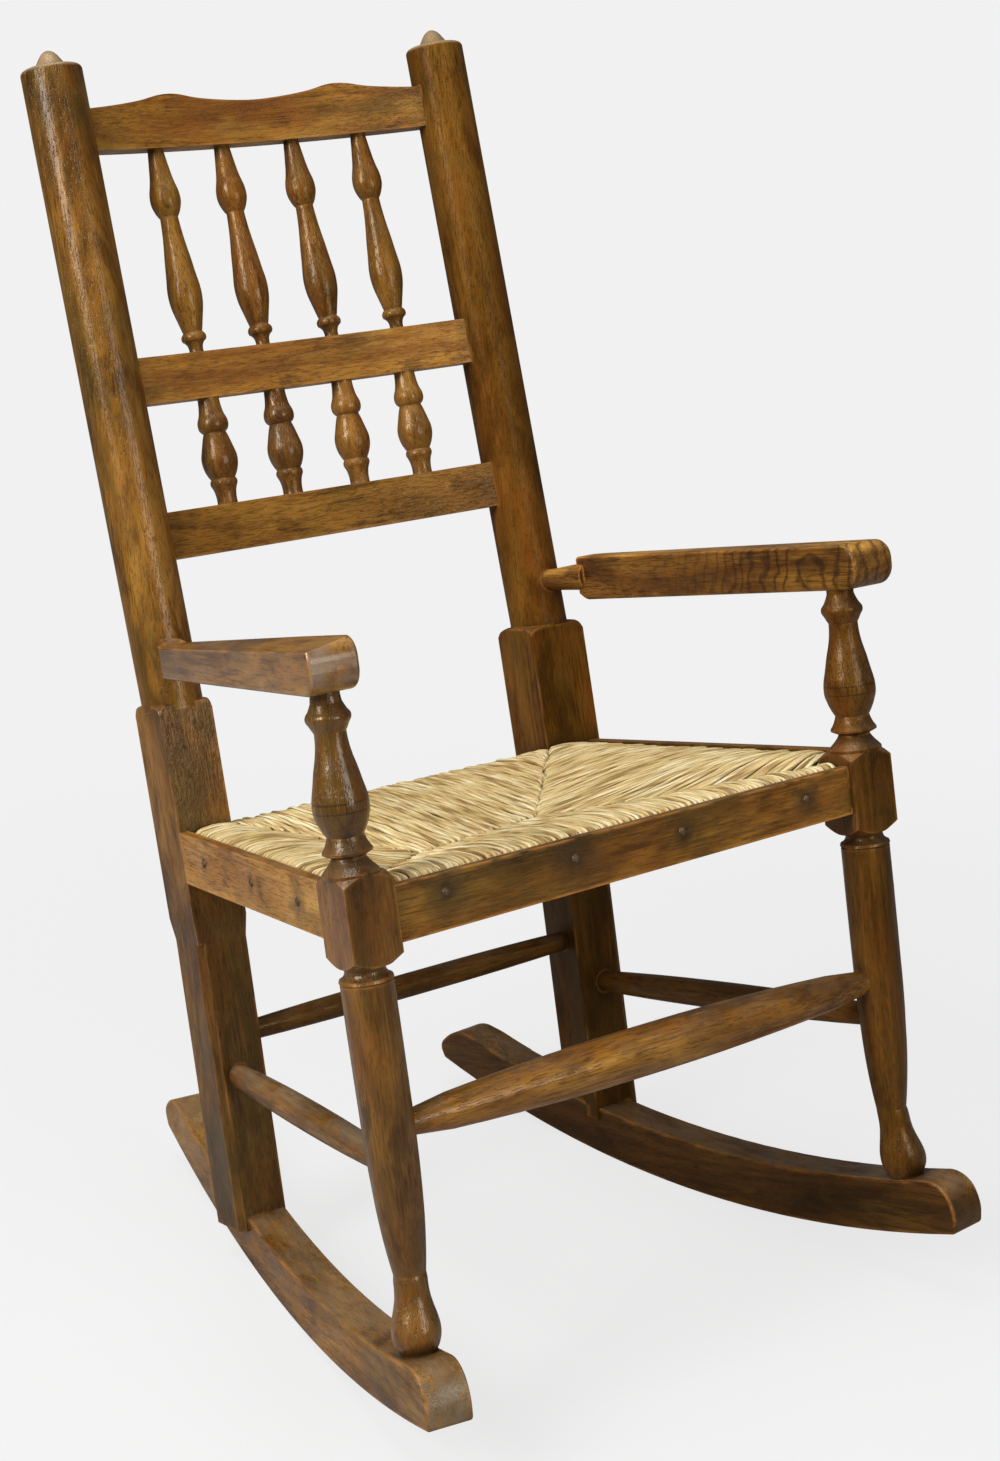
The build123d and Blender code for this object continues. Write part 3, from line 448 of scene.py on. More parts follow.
def dirt_and_shade(timber, base):
    """Dirt where cloth never reaches, with painted shade where light can't get in."""
    # Painted shade: the near-black is strongest where light can't get in, and stands for dirt as well.
    hollow = add(timber.tree, "ShaderNodeAmbientOcclusion", {"Distance": HOLLOW}, samples=4, only_local=False)
    return mix(timber.tree, between(timber.tree, hollow.outputs["AO"], 0.35, 0.92, 0.85, 0.0), base, NEAR_BLACK)


def worn(timber, base, wear):
    """Arrises rubbed bare: the true normal turns away from the softened one."""
    tree = timber.tree
    soft = add(tree, "ShaderNodeBevel", {"Radius": ARRIS}, samples=4)
    edge = between(tree, measure(tree, "DOT_PRODUCT", soft.outputs[0], timber.facing), 0.990, 0.90)
    patchy = between(tree, timber.stretched(60.0, 30.0), 0.42, 0.62)
    return mix(tree, times(tree, times(tree, edge, patchy), wear), base, WORN)


print("dirt reaches", HOLLOW * 1000, "mm out of a corner, wear", ARRIS * 1000, "mm in from an arris")

# %% [markdown]
# ## Wax
#
# Wax lies over the colour as a thin clear coat, more on the parts that hands and backs polish. Low
# roughness alone could make the wood shine, but then it looks varnished. Two reflections are kept apart:
# the wood's own is broad, patchy and tinted amber, because wax has soaked in and yellowed there, and the
# coat's is narrow, and has a weight of its own for each piece.

# %% Waxed surface
GRAIN_HEIGHT = 0.0007                # depth of the bump, in metres
WAX_ROUGHNESS = 0.19


def waxed(timber, base, gloss, polish, relief):
    """Wood under wax: patchy gloss, fine relief, an amber sheen and a clear coat."""
    tree = timber.tree
    shine = between(tree, timber.stretched(45.0, 20.0), 0.30, 0.70, gloss - 0.10, gloss + 0.16)
    height = less(tree, times(tree, timber.streaks, 0.45), times(tree, timber.pores, 0.7))
    height = plus(tree, height, times(tree, timber.stretched(60.0, 40.0, 2.0), 0.35))
    height = plus(tree, height, times(tree, timber.stretched(330.0, 260.0, 2.0), 0.45))
    bump = add(tree, "ShaderNodeBump", {"Height": height, "Distance": GRAIN_HEIGHT, "Strength": relief}).outputs[0]
    surface = add(tree, "ShaderNodeBsdfPrincipled", {"Base Color": base, "Roughness": shine,
                                                     "Normal": bump, "Coat Normal": bump})
    amber = (1.0, 0.72 - 0.24 * timber.depth, 0.34 - 0.32 * timber.depth, 1.0)
    surface.inputs["Specular IOR Level"].default_value = 0.45
    surface.inputs["Specular Tint"].default_value = amber
    surface.inputs["Coat Weight"].default_value = polish
    surface.inputs["Coat Roughness"].default_value = WAX_ROUGHNESS
    add(tree, "ShaderNodeOutputMaterial", {"Surface": surface.outputs[0]})


print("grain is", GRAIN_HEIGHT * 1000, "mm deep at most")

# %% [markdown]
# ## One finish out of all these
#
# The layers go on in the order in which they came to the real wood: growth, stain, dust, spots of its own,
# dirt with painted shade in the hollows, wear, wax. Every piece could have a material written for it. One
# function with a number for each layer keeps thirty pieces of one kind, and the numbers say how each piece has
# lived.


# %% One piece's finish
def wood(name, grain, seed, depth=0.5, red=0.25, olive=0.3, wear=0.5, gloss=0.42, polish=0.28,
         figure=0.5, pores=0.5, dust=0.18, relief=0.55, marks=()):
    """Waxed open-grained wood whose fibres run along `grain`; `marks` darkens or lightens chosen spots."""
    timber = Timber(name, grain, seed, depth)
    base = bare_wood(timber, figure, pores)
    base = stained(timber, base, olive, red)
    base = dusty(timber, base, dust)
    for mark in marks:
        base = mark(timber.tree, timber.where, base)
    base = worn(timber, dirt_and_shade(timber, base), wear)
    waxed(timber, base, gloss, polish, relief)
    return timber.material


print("layers, from the inside out: growth, stain, dust, marks, dirt, wear, wax")

# %% [markdown]
# ## Which way the fibres run
#
# A joiner lays the fibres along every piece, because wood is strong that way, so each piece needs one
# direction. It could be found from the longest side of the piece's box, but the raked back and the
# splayed sides run askew to every box. There are only five directions in the chair, so they are given.

# %% Directions of the fibres
RAKE = math.radians(6)               # the back leans behind the legs
UPRIGHT = along(0, 0, 1)
BACKREST = along(0, math.sin(RAKE), math.cos(RAKE))
ACROSS = Vector((1, 0, 0))
LEFT_RUN, RIGHT_RUN = along(0.12, 1, -0.01), along(-0.12, 1, -0.01)
FINISH = {"seat_rail": (ACROSS, dict(depth=0.35))}     # hidden in the rush, so plain
print("fibres of the back run along", BACKREST)

# %% [markdown]
# ## The back
#
# Two raked posts hold three bent rails and eight spindles. Backs and hands keep the middle rail bare and
# tan, while the right post is given the darkest tone of the chair. The legs are made darker below the
# seat, and the nibs on top are grey end grain. Each is told by a measure in the joiner's frame, of the
# height or of the place along the post: a painted mask could do it too, but only for one shape of leg.

# %% Darker by height
LOWER_TONE = (0.16, 0.12, 0.08)


def height_of(tree, where):
    """Height up the leg in the joiner's frame, in metres."""
    off = add(tree, "ShaderNodeVectorMath", {0: where, 1: tuple(STAND)}, operation="SUBTRACT")
    return measure(tree, "DOT_PRODUCT", off.outputs[0], UPRIGHT)


def darker_below(height, spread, amount):
    """A darker colour that thickens below a height."""
    def marks(tree, where, base):
        fade = between(tree, height_of(tree, where), (height - spread) / 1000, height / 1000, amount, 0.0)
        # Darker towards the bottom of the legs, from just under the seat down.
        return mix(tree, fade, base, LOWER_TONE, "MULTIPLY")
    return marks


print("heights are taken from", STAND)

# %% Grey nibs
NIB = 0.0185                         # length of the nib, in metres
NIB_GREY = (0.36, 0.27, 0.165)
post = nodes["back_post_left"]
POST_TOP = max((post.matrix_world @ v.co).dot(BACKREST) for v in post.data.vertices)


def pale_nib():
    """Grey end grain on the nib that tops a post, told by its place along the post."""
    def marks(tree, where, base):
        tall = measure(tree, "DOT_PRODUCT", where, BACKREST)
        grey = between(tree, tall, POST_TOP - NIB, POST_TOP - NIB + 0.002, 0.0, 0.55)
        return mix(tree, grey, base, NIB_GREY)
    return marks


print("posts end", round(POST_TOP, 4), "m along the back")

# %% Finish of the back
UNDER_SEAT = (318, 30)               # where the darkening starts, and over what height, in millimetres
FINISH.update({
    "back_post_left": (UPRIGHT, dict(depth=0.54, polish=0.4, red=0.22, olive=0.80,
                                     marks=(darker_below(*UNDER_SEAT, 0.45), pale_nib()))),
    "back_post_right": (UPRIGHT, dict(depth=0.82, gloss=0.54, polish=0.05, red=0.55, olive=0.50,
                                      marks=(darker_below(*UNDER_SEAT, 0.3), pale_nib()))),
    "crest_rail": (ACROSS, dict(depth=0.16, red=0.65, olive=0.55)),
    "middle_rail": (ACROSS, dict(depth=-0.04, red=0.65, olive=0.10)),
    "lower_rail": (ACROSS, dict(depth=0.48, red=0.30, olive=0.5)),
    "upper_spindle": (BACKREST, dict(depth=0.57, red=0.42, olive=0.60, gloss=0.36, polish=0.35)),
    "lower_spindle": (BACKREST, dict(depth=0.42, red=0.40, olive=0.45, gloss=0.36, polish=0.5)),
})
print(len(FINISH), "finishes so far")

# %% [markdown]
# ## The arms
#
# The arms are the most handled wood: bare on top, shiny at the nose, where the left one also has painted
# sheen, and darker on the sides. The right one is elm with a knot near its front, and the rings bend round
# the knot in a flame. Such rings could be traced as curves. Here they are shells round the knot, narrow
# along the arm and swayed by noise, because without the noise they look drawn with a compass.

# %% Darker sides, painted shade on the right rocker, and rubbed ends with painted sheen
SIDE_DARKENING = (0.26, 0.19, 0.10)
SIDE_FROM, SIDE_FULL = 0.75, 0.35    # how far a face looks up, where a side begins and where it is full


def darker_sides(amount):
    """Faces that look sideways made darker than the top; on the right rocker this is painted shade."""
    def marks(tree, where, base):
        facing = add(tree, "ShaderNodeNewGeometry").outputs["Normal"]
        up = measure(tree, "DOT_PRODUCT", facing, UPRIGHT)
        # Sides darker than the top by which way they face; on the right rocker this is painted shade.
        return mix(tree, between(tree, up, SIDE_FROM, SIDE_FULL, 0.0, amount), base, SIDE_DARKENING, "MULTIPLY")
    return marks


def rubbed_and_sheen(direction, amount, shade):
    """Bare grey end grain or rubbed faces, where they look along a direction; on the left arm's nose the grey is
    also painted sheen.
    """
    def marks(tree, where, base):
        facing = add(tree, "ShaderNodeNewGeometry").outputs["Normal"]
        ahead = measure(tree, "DOT_PRODUCT", facing, Vector(direction).normalized())
        ahead = between(tree, ahead, 0.60, 0.90, 0.0, amount)
        bare = between(tree, noise(tree, where, 55.0, 4.0), 0.34, 0.58)
        return mix(tree, times(tree, ahead, bare), base, shade)
    return marks


print("a side is all that leans more than", round(math.degrees(math.acos(SIDE_FROM))), "degrees from level")

# %% Knot
KNOT_SQUEEZE = (1.0, 0.75, 0.42)     # below 1 draws the rings out: they are tall
HEART = (0.003, 0.008)               # the black middle, all dark and no longer dark, in metres
RING_SHADE = (0.20, 0.13, 0.09)
FULL_TURN = 6.2832


def knot(spot, reach, gap):
    """A knot with the growth rings bent round it, dark on dark."""
    def marks(tree, where, base):
        off = add(tree, "ShaderNodeVectorMath", {0: where, 1: tuple(chair(*spot))}, operation="SUBTRACT").outputs[0]
        off = add(tree, "ShaderNodeMapping", {"Vector": off, "Scale": KNOT_SQUEEZE}).outputs[0]
        far = measure(tree, "LENGTH", off)
        bent = plus(tree, far, times(tree, noise(tree, where, 38.0, 2.0), 0.020))
        wave = math_node(tree, "SINE", times(tree, bent, FULL_TURN / gap))
        near = between(tree, far, 0.25 * reach, reach, 0.8, 0.0)
        base = mix(tree, times(tree, between(tree, wave, 0.2, 1.0), near), base, RING_SHADE, "MULTIPLY")
        return mix(tree, between(tree, far, *HEART, 0.9, 0.0), base, NEAR_BLACK)
    return marks


print("a ring round the knot is", round(KNOT_SQUEEZE[0] / KNOT_SQUEEZE[2], 1), "times as tall as it is wide")

# %% Finish of the arms
KNOT_SPOT = (212.0, 14.0, 506.0)
KNOT_REACH, RING_GAP = 0.165, 0.0090
NOSE_GREY_AND_SHEEN = (0.33, 0.26, 0.20)
FINISH.update({
    # The pale grey on the left arm's nose is partly grey end grain and partly painted sheen.
    "arm_left": (LEFT_RUN, dict(depth=0.14, red=0.25, olive=0.25, gloss=0.33, polish=1.0, wear=0.8, relief=0.14,
                                marks=(darker_sides(0.38), rubbed_and_sheen((-0.35, -1.0, 0.3), 0.55, NOSE_GREY_AND_SHEEN)))),
    "arm_right": (RIGHT_RUN, dict(depth=-0.02, red=0.45, olive=0.10, figure=1.2, wear=1.2,
                                  marks=(darker_sides(0.85), knot(KNOT_SPOT, KNOT_REACH, RING_GAP)))),
})
print("knot at", chair(*KNOT_SPOT))

# %% [markdown]
# ## The front legs
#
# Each front leg is one turning. Before shaping it the turner scribes fine lines round the blank to mark
# where the belly of the baluster lies, and wax has blackened the two that are left. A groove that thin
# could be modelled, but it would need very fine faces: a dark line at a height says the same.


# %% Scribed lines
def scribed_lines(*heights):
    """Dark lines cut round a turning as a guide for the turner."""
    def marks(tree, where, base):
        z = height_of(tree, where)
        for height in heights:
            off = math_node(tree, "ABSOLUTE", less(tree, z, height / 1000))
            base = mix(tree, between(tree, off, 0.0003, 0.0008, 0.85, 0.0), base, NEAR_BLACK)
        return base
    return marks


SCRIBED = (418, 425)                 # heights of the two lines, in millimetres
FINISH.update({
    "front_leg_left": (UPRIGHT, dict(depth=0.56, red=0.42, olive=0.55, gloss=0.34, polish=0.7,
                                     marks=(scribed_lines(*SCRIBED),))),
    "front_leg_right": (UPRIGHT, dict(depth=0.84, red=0.45, olive=0.15, gloss=0.38, polish=0.25,
                                      marks=(scribed_lines(*SCRIBED),))),
})
print("lines scribed at", SCRIBED, "mm")

# %% [markdown]
# ## Nail stains and worn strips
#
# Iron nails blacken ash round them, because rust and tannin make ink. The strips over the rush are the
# barest wood of the chair, so the stains show there as soft dark spots round each nail. Their places are
# the nails' own places, and each spot is a distance made ragged by noise, which stays soft at any size.

# %% Stains round the nails
NAIL_HEIGHT = 343.0                  # millimetres, as are the places; the sizes are in metres
INK = (0.022, 0.014, 0.008)
FRONT_NAILS = [(chair(x, -17.0, NAIL_HEIGHT), size) for x, size in
               ((-173.0, 0.026), (-56.0, 0.030), (46.0, 0.013), (172.0, 0.018))]
SIDE_NAILS = [(chair(-(259.0 - 0.13 * y), y, NAIL_HEIGHT), size) for y, size in
              ((70.0, 0.022), (174.0, 0.010), (290.0, 0.011))]


def nail_stains(spots, strength):
    """Blackens the wood round each of the spots, out to its size in metres."""
    def marks(tree, where, base):
        for spot, size in spots:
            ragged = less(tree, noise(tree, where, 90.0, 3.0), 0.5)
            far = plus(tree, measure(tree, "DISTANCE", where, spot), times(tree, ragged, 0.02))
            base = mix(tree, between(tree, far, 0.15 * size, size, strength, 0.0), base, INK)
        return base
    return marks


FINISH.update({
    "seat_strip_left": (LEFT_RUN, dict(depth=-0.12, red=0.08, olive=0.25, wear=1.2, figure=0.2,
                                       marks=(nail_stains(SIDE_NAILS, 0.6),))),
    "seat_strip_right": (RIGHT_RUN, dict(depth=0.50)),
    "seat_strip_front": (ACROSS, dict(depth=0.30, red=0.40, olive=0.75, wear=1.8,
                                      marks=(nail_stains(FRONT_NAILS, 0.85),))),
})
print(len(FRONT_NAILS) + len(SIDE_NAILS), "stains")

# %% [markdown]
# ## Stretchers and rockers
#
# Stretchers tie the legs together low down. Feet rest on the front one, so it is pale, while the others
# are only ever dusted. The rockers carry the dust of the floor on their tops, are scuffed to grey on
# their noses, and are darker on the sides, which on the right rocker is painted shade. Each could have a
# finish of its own kind, but they are of the same wood and have lived in the same house: the marks above
# say all this, with other numbers.

# %% Finish of stretchers and rockers
SCUFFED = (0.235, 0.185, 0.130)
FINISH.update({
    "stretcher_front": (ACROSS, dict(depth=0.01, red=0.45, olive=0.25, gloss=0.34, polish=0.40, pores=0.65)),
    "stretcher_left": (LEFT_RUN, dict(depth=0.50, olive=0.6, dust=0.45)),
    "stretcher_right": (RIGHT_RUN, dict(depth=0.66, red=0.3)),
    "stretcher_back": (ACROSS, dict(depth=0.72, red=0.3)),
    "rocker_left": (LEFT_RUN, dict(depth=0.38, red=0.20, olive=0.50, wear=1.3, dust=0.38,
                                   marks=(rubbed_and_sheen((0.1, -1.0, 0.15), 0.70, SCUFFED),))),
    # Painted shade: the right rocker's sides are darkened by which way they face.
    "rocker_right": (RIGHT_RUN, dict(depth=0.60, red=0.25, olive=0.35, wear=1.2, dust=0.30,
                                     marks=(darker_sides(0.65),))),
})
print(len(FINISH), "finishes in all")

# %% [markdown]
# ## Nail heads
#
# The nails are forged iron, rusted brown and waxed over with the wood round them, so they hardly shine.
# A metal shader at full strength would look new. A third of it, under a coarse rust, is nearer.


# %% Iron
def iron():
    """Old nail heads, rusted brown and waxed over."""
    material, tree = new_material("nail_iron")
    where = add(tree, "ShaderNodeTexCoord").outputs["Object"]
    rust = noise(tree, where, 700.0, 3.0)
    base = ramp(tree, rust, (0.35, (0.040, 0.022, 0.011)), (0.65, (0.160, 0.090, 0.042)))
    surface = add(tree, "ShaderNodeBsdfPrincipled", {"Base Color": base})
    surface.inputs["Metallic"].default_value = 0.35
    surface.inputs["Roughness"].default_value = 0.5
    add(tree, "ShaderNodeOutputMaterial", {"Surface": surface.outputs[0]})
    return material


nail_finish = iron()
print("made", nail_finish.name)

# %% [markdown]
# ## Every piece gets its finish
#
# Pieces of one kind, such as the spindles, share a row of the table, yet no two were cut from the same
# spot of the tree. So each piece has a material of its own with a seed of its own. One material shared by
# all would be lighter, but the grain would run on from piece to piece as if they were one board.

# %% Finish the joinery
FIRST_SEED, SEED_STEP = 11, 7
for count, name in enumerate(sorted(nodes)):
    if name == "rush_seat":
        continue
    piece = nodes[name]
    piece.data.materials.clear()
    if name.startswith("nails"):
        piece.data.materials.append(nail_finish)
        continue
    grain, look = FINISH[next(key for key in FINISH if name.startswith(key))]
    piece.data.materials.append(wood("wood_" + name, grain, FIRST_SEED + SEED_STEP * count, **look))
print("finished", len(nodes) - 1, "pieces")

# %% [markdown]
# ## A woven rush seat
#
# A seat like this is one long cord, twisted from wet rush as the weaver goes and taken round the four
# rails in turn, so it lies in four fields that meet along mitred seams. Here each turn round a rail is
# one tube along a path: up from the seam underneath, round the rail, over its top and down into the seam
# above. The paths are worked out from the few sizes of rails and blocks below, so another seat needs
# other numbers but no new drawing. Tubes are used, not a bump pattern, because the dark gaps and the
# ragged edge over the strips are real depth.

# %% Where the rush lies, in the maker's millimetres
CORD = 2.95                     # radius of a cord
PITCH = 5.65                    # from one cord to the next
CLEAR = 0.4                     # between the rush and the wood round it
FRONT_FACE, BACK_FACE = -7.75, 385.3
UNDERSIDE = 320.3
LEG_BLOCK = (217.75, 21.25)                             # inner corner of a front block
SIDE_FACE, NARROWING = 249.75, 0.1307                   # half width at that corner, and what it loses going back
POST_BLOCK = {-1: (166.0, 348.6), 1: (162.0, 344.6)}    # and of each back block
BRIDGE = {-1: (-98.0, 150.0), 1: (20.0, 155.0)}         # where the seams meet the middle
FIELDS = ("front", "back", "left", "right")


def side_face(y):
    """Inner face of a side strip, from the middle of the chair."""
    return SIDE_FACE - NARROWING * (y - LEG_BLOCK[1])


print("seat", round(2 * side_face(FRONT_FACE)), "mm wide in front,", round(2 * side_face(BACK_FACE)),
      "mm behind,", round(BACK_FACE - FRONT_FACE), "mm deep")

# %% [markdown]
# ## Seams
#
# Where a front turn meets a side turn the cord crosses itself, and the crossings make a seam that runs
# in from each corner and sinks as it goes. The left and right seams don't meet in one point, because the
# seat is wider than it is deep: between them the front and back fields meet along a bridge. A seam could
# be a drawn curve. It is worked out as a straight line with three heights, so cords can be cut to it.

# %% Seam lines
SEAM_HEIGHT = {("front", -1): (357, 349, 341), ("front", 1): (357, 350, 346),
               ("back", -1): (361, 350, 341), ("back", 1): (363, 354, 346)}
HEIGHT_AT = (0, 0.5, 1)              # at the corner, half way, at the bridge
BRIDGE_HEIGHT, BRIDGE_RISE = 341.0, 5.0


def seam_corner(end, side):
    """The corner from which a seam starts."""
    return LEG_BLOCK if end == "front" else POST_BLOCK[side]


def seam_height(share, end, side):
    return float(np.interp(share, HEIGHT_AT, SEAM_HEIGHT[(end, side)]))


def seam_x(y, side):
    """Where a side field's seam is at depth y, and its height there."""
    bx, by = BRIDGE[side]
    end = "front" if y < by else "back"
    cx, cy = seam_corner(end, side)
    share = min(1.0, max(0.0, (y - cy) / (by - cy)))
    return side * cx + (bx - side * cx) * share, seam_height(share, end, side)


def seam_y(x, end):
    """Where the front or back field ends at x: on a seam, or on the bridge between them."""
    (lx, ly), (rx, ry) = BRIDGE[-1], BRIDGE[1]
    if lx <= x <= rx:
        share = (x - lx) / (rx - lx)
        return ly + (ry - ly) * share, BRIDGE_HEIGHT + BRIDGE_RISE * share
    side = -1 if x < lx else 1
    (cx, cy), (bx, by) = seam_corner(end, side), BRIDGE[side]
    share = (x - side * cx) / (bx - side * cx)
    return cy + (by - cy) * share, seam_height(share, end, side)


print("bridge", round(math.dist(BRIDGE[-1], BRIDGE[1])), "mm long")

# %% [markdown]
# ## The top of the seat
#
# Over a rail the rush stands high and hard. Behind it the weaver stuffs broken rush between the layers,
# so the field stays full for a while and then falls into the seam. A cloth simulation could find such a
# shape, but the cords would slide. One formula for the height keeps every cord where its rail puts it.

# %% Height of the rush
SHOULDER = 12.0                      # how far in the rush starts to fall
WIDE = 90.0                          # a field this deep is stuffed in full
FULL = {"front": 3.0, "back": 3.0, "left": 3.5, "right": 5.0}     # how far stuffing lifts each field


def crest(field, at):
    """Height of the rush over a rail."""
    if field == "front":
        return 361.0 + 0.0065 * at
    if field == "back":
        return 357.5
    return 366.5 - 0.0125 * at


def top_at(field, at, inward, reach, seam):
    """Height of the upper side: full over the rail, a little stuffed, then down to the seam."""
    share = max(0.0, min(1.0, (inward - SHOULDER) / max(reach - SHOULDER, 1.0)))
    fall = share * share * (3 - 2 * share)
    stuffed = FULL[field] * math.sin(math.pi * share) * min(1.0, reach / WIDE)
    return crest(field, at) * (1 - fall) + seam * fall + stuffed


print("rush over the front rail", round(crest("front", 0) - UNDERSIDE, 1), "mm thick")


# %% Places in a field
def place_in(field, at, inward, z):
    """A point of a field from its place along the rail, its distance in from the face, its height."""
    if field == "front":
        return at, FRONT_FACE + inward, z
    if field == "back":
        return at, BACK_FACE - inward, z
    side = -1 if field == "left" else 1
    return side * (side_face(at) - inward), at, z


def reach_of(field, at):
    """How far the field runs in from its face, and the height of the seam there."""
    if field in ("front", "back"):
        y, z = seam_y(at, field)
        return abs(y - (FRONT_FACE if field == "front" else BACK_FACE)), z
    side = -1 if field == "left" else 1
    x, z = seam_x(at, side)
    return side_face(at) - side * x, z


def field_places(field):
    """The places along a rail at which its cords lie."""
    if field == "front":
        first, last = -LEG_BLOCK[0], LEG_BLOCK[0]
    elif field == "back":
        first, last = -POST_BLOCK[-1][0], POST_BLOCK[1][0]
    else:
        first, last = LEG_BLOCK[1], POST_BLOCK[-1 if field == "left" else 1][1]
    first, last = first + CLEAR + CORD, last - CLEAR - CORD
    count = round((last - first) / PITCH)
    return [first + (last - first) * n / count for n in range(count + 1)]


print("turns of cord:", {field: len(field_places(field)) for field in FIELDS})

# %% [markdown]
# ## One turn of cord
#
# The weaver brings the cord up through the middle, over the rail, round it and back under the seat. A
# curve object with a round bevel could follow that way too, but its twist can't be read by a material.
# So the centre line is a list of points: over the top, round the upper edge, down the face, round the
# lower edge and back under. Both ends dive at the seam, where the cord goes under its neighbour.

# %% Centre line of one turn
TOP_END, UNDER_START = 13.0, 16.0    # how far in the bends round the rail begin
TOP_BEND, LOW_BEND = 9.0, 8.0        # radii of the two bends
FACE_TOP, FACE_FOOT = 14.0, 11.0     # the straight face, in from the top and from the underside
TOP_STEP, UNDER_STEP = 6.0, 12.0     # from point to point
DIVE_LENGTH, DIVE_DEPTH, UNDER_DIVE = 7.0, 6.0, 4.0


def over_the_top(field, at, reach, seam, lift):
    """From the seam out to the rail, as (inward, height)."""
    line = []
    for inward in np.linspace(reach, TOP_END, max(3, int((reach - TOP_END) / TOP_STEP))):
        dive = max(0.0, 1 - (reach - inward) / DIVE_LENGTH) ** 1.5 * DIVE_DEPTH
        line.append((inward, top_at(field, at, inward, reach, seam) - CORD + lift - dive))
    return line


def round_the_rail(high, floor_z):
    """Upper bend, face and lower bend."""
    face = CORD + CLEAR
    upper = [(face + TOP_BEND * (1 - math.sin(a)), high - TOP_BEND * (1 - math.cos(a)))
             for a in np.radians((22, 45, 68, 90))]
    down = [(face, z) for z in np.linspace(high - FACE_TOP, floor_z + FACE_FOOT, 3)]
    lower = [(face + LOW_BEND * (1 - math.cos(a)), floor_z + LOW_BEND * (1 - math.sin(a)))
             for a in np.radians((25, 55, 80))]
    return upper + down + lower


def cord_path(field, at, rng):
    """Centre line of one turn: from the seam above, over and round the rail, to the seam below."""
    reach, seam = reach_of(field, at)
    reach = reach + rng.uniform(-1.0, 4.5)
    lift = rng.uniform(-0.7, 0.9)
    floor_z = UNDERSIDE + CORD
    over = over_the_top(field, at, reach, seam, lift)
    under = [(inward, floor_z + max(0.0, 1 - (reach - inward) / DIVE_LENGTH) * UNDER_DIVE)
             for inward in np.linspace(UNDER_START, reach, max(3, int((reach - UNDER_START) / UNDER_STEP)))]
    return [place_in(field, at, inward, z) for inward, z in over + round_the_rail(over[-1][1], floor_z) + under]


print("a turn in the middle of the front takes", len(cord_path("front", 0.0, random.Random(0))), "points")

# %% [markdown]
# ## Twist
#
# A rush cord is two or three leaves twisted together, so it is never quite round: it has lobes that wind
# along it, thick and thin places, and a slight sway. A displaced cylinder could show the lobes. Building
# the tube ring by ring does it with far fewer faces, and each point can keep three numbers for the
# finish: the cord's own tint, the length run so far, and the turn of the twist.

# %% Shape of a twisted cord
SIDES = 10                           # points round a cord
TWIST = (32.0, 56.0)                 # shortest and longest lay, in millimetres
LEAVES = 5                           # leaf edges seen round a cord, as each twisted leaf folds over itself
FLAT = 0.92                          # cords are pressed a little flat
ANGLES = np.arange(SIDES) * 2 * math.pi / SIDES


def square_to(path, run):
    """Two directions square to a path: one for the whole cord, one for each of its points."""
    tangent = np.gradient(path, run, axis=0)
    tangent /= np.linalg.norm(tangent, axis=1)[:, None]
    side = np.cross(tangent[len(path) // 2], path[0] - path[len(path) // 2])
    side /= np.linalg.norm(side)
    up = np.cross(tangent, side)
    return side, up / np.linalg.norm(up, axis=1)[:, None]


def ring(spot, here, turn, size, waves, side, up):
    """Points round the cord at one place, with its lobes, its thickness there and its sway."""
    sway = 0.55 * math.sin(here / 23.0 + waves[0]) + 0.30 * math.sin(here / 9.0 + waves[1])
    swell = 1 + 0.07 * math.sin(here / 14.0 + waves[2]) + 0.05 * math.sin(here / 5.3 + waves[3])
    lobes = 1 + 0.10 * np.cos(3 * ANGLES - FULL_TURN * turn) + 0.07 * np.cos(2 * ANGLES + FULL_TURN * turn * 0.7)
    radius = size * swell * lobes
    return spot + np.outer(np.cos(ANGLES) * radius + sway, side) + np.outer(np.sin(ANGLES) * radius * FLAT, up)


print("a cord turns once in", TWIST[0], "to", TWIST[1], "mm")


# %% Collect the cords
class Rope:
    """Collects tubes into one mesh, with a tint, a length and a turn for every point."""

    def __init__(self, seed):
        self.rng = np.random.default_rng(seed)
        self.points, self.faces, self.tint, self.run, self.turn = [], [], [], [], []
        self.length = 0.0

    def cord(self, path):
        """One tube along a path."""
        path = np.array(path)
        run = np.concatenate(([0.0], np.cumsum(np.linalg.norm(np.diff(path, axis=0), axis=1))))
        side, up = square_to(path, run)
        tint, start = self.rng.random(), self.rng.random()
        twist = self.rng.uniform(*TWIST)
        size = CORD * self.rng.uniform(0.90, 1.10)
        waves = self.rng.uniform(0, 6.28, 4)
        first = len(self.points)
        for n, (spot, here) in enumerate(zip(path, run)):
            turn = start + here / twist
            self.points.extend(ring(spot, here, turn, size, waves, side, up[n]))
            self.run.extend([here] * SIDES)
            self.turn.extend(LEAVES * (ANGLES / FULL_TURN) - turn)
            self.tint.extend([tint] * SIDES)
        self.skin(first, len(path))
        self.length += run[-1]

    def skin(self, first, count):
        """Faces between the rings, and a cap on each end."""
        last = first + (count - 1) * SIDES
        for a in range(first, last, SIDES):
            b = a + SIDES
            self.faces.extend((a + k, a + (k + 1) % SIDES, b + (k + 1) % SIDES, b + k) for k in range(SIDES))
        self.faces.append(tuple(first + k for k in reversed(range(SIDES))))
        self.faces.append(tuple(last + k for k in range(SIDES)))


# %% [markdown]
# ## Weaving
#
# The weaver goes round all four rails in turn with one cord. Here the seat is filled rail by rail, since
# where one turn joins the next is hidden in the seams. An array modifier would set out even cords with
# less work, but every cord of a real seat is a little out of place, thicker or thinner, and cut to its
# own length, so each is made for its place.

# %% Weave the seat
WEAVE_SEED = 41
SHUFFLE = 0.35                       # how far a cord strays from its even place
weave = Rope(WEAVE_SEED)
for field in FIELDS:
    before = weave.length
    for at in field_places(field):
        weave.cord(cord_path(field, at + weave.rng.uniform(-SHUFFLE, SHUFFLE), weave.rng))
    print(field, "field:", round((weave.length - before) / 1000, 1), "m of cord")
print("all", round(weave.length / 1000, 1), "m of cord")

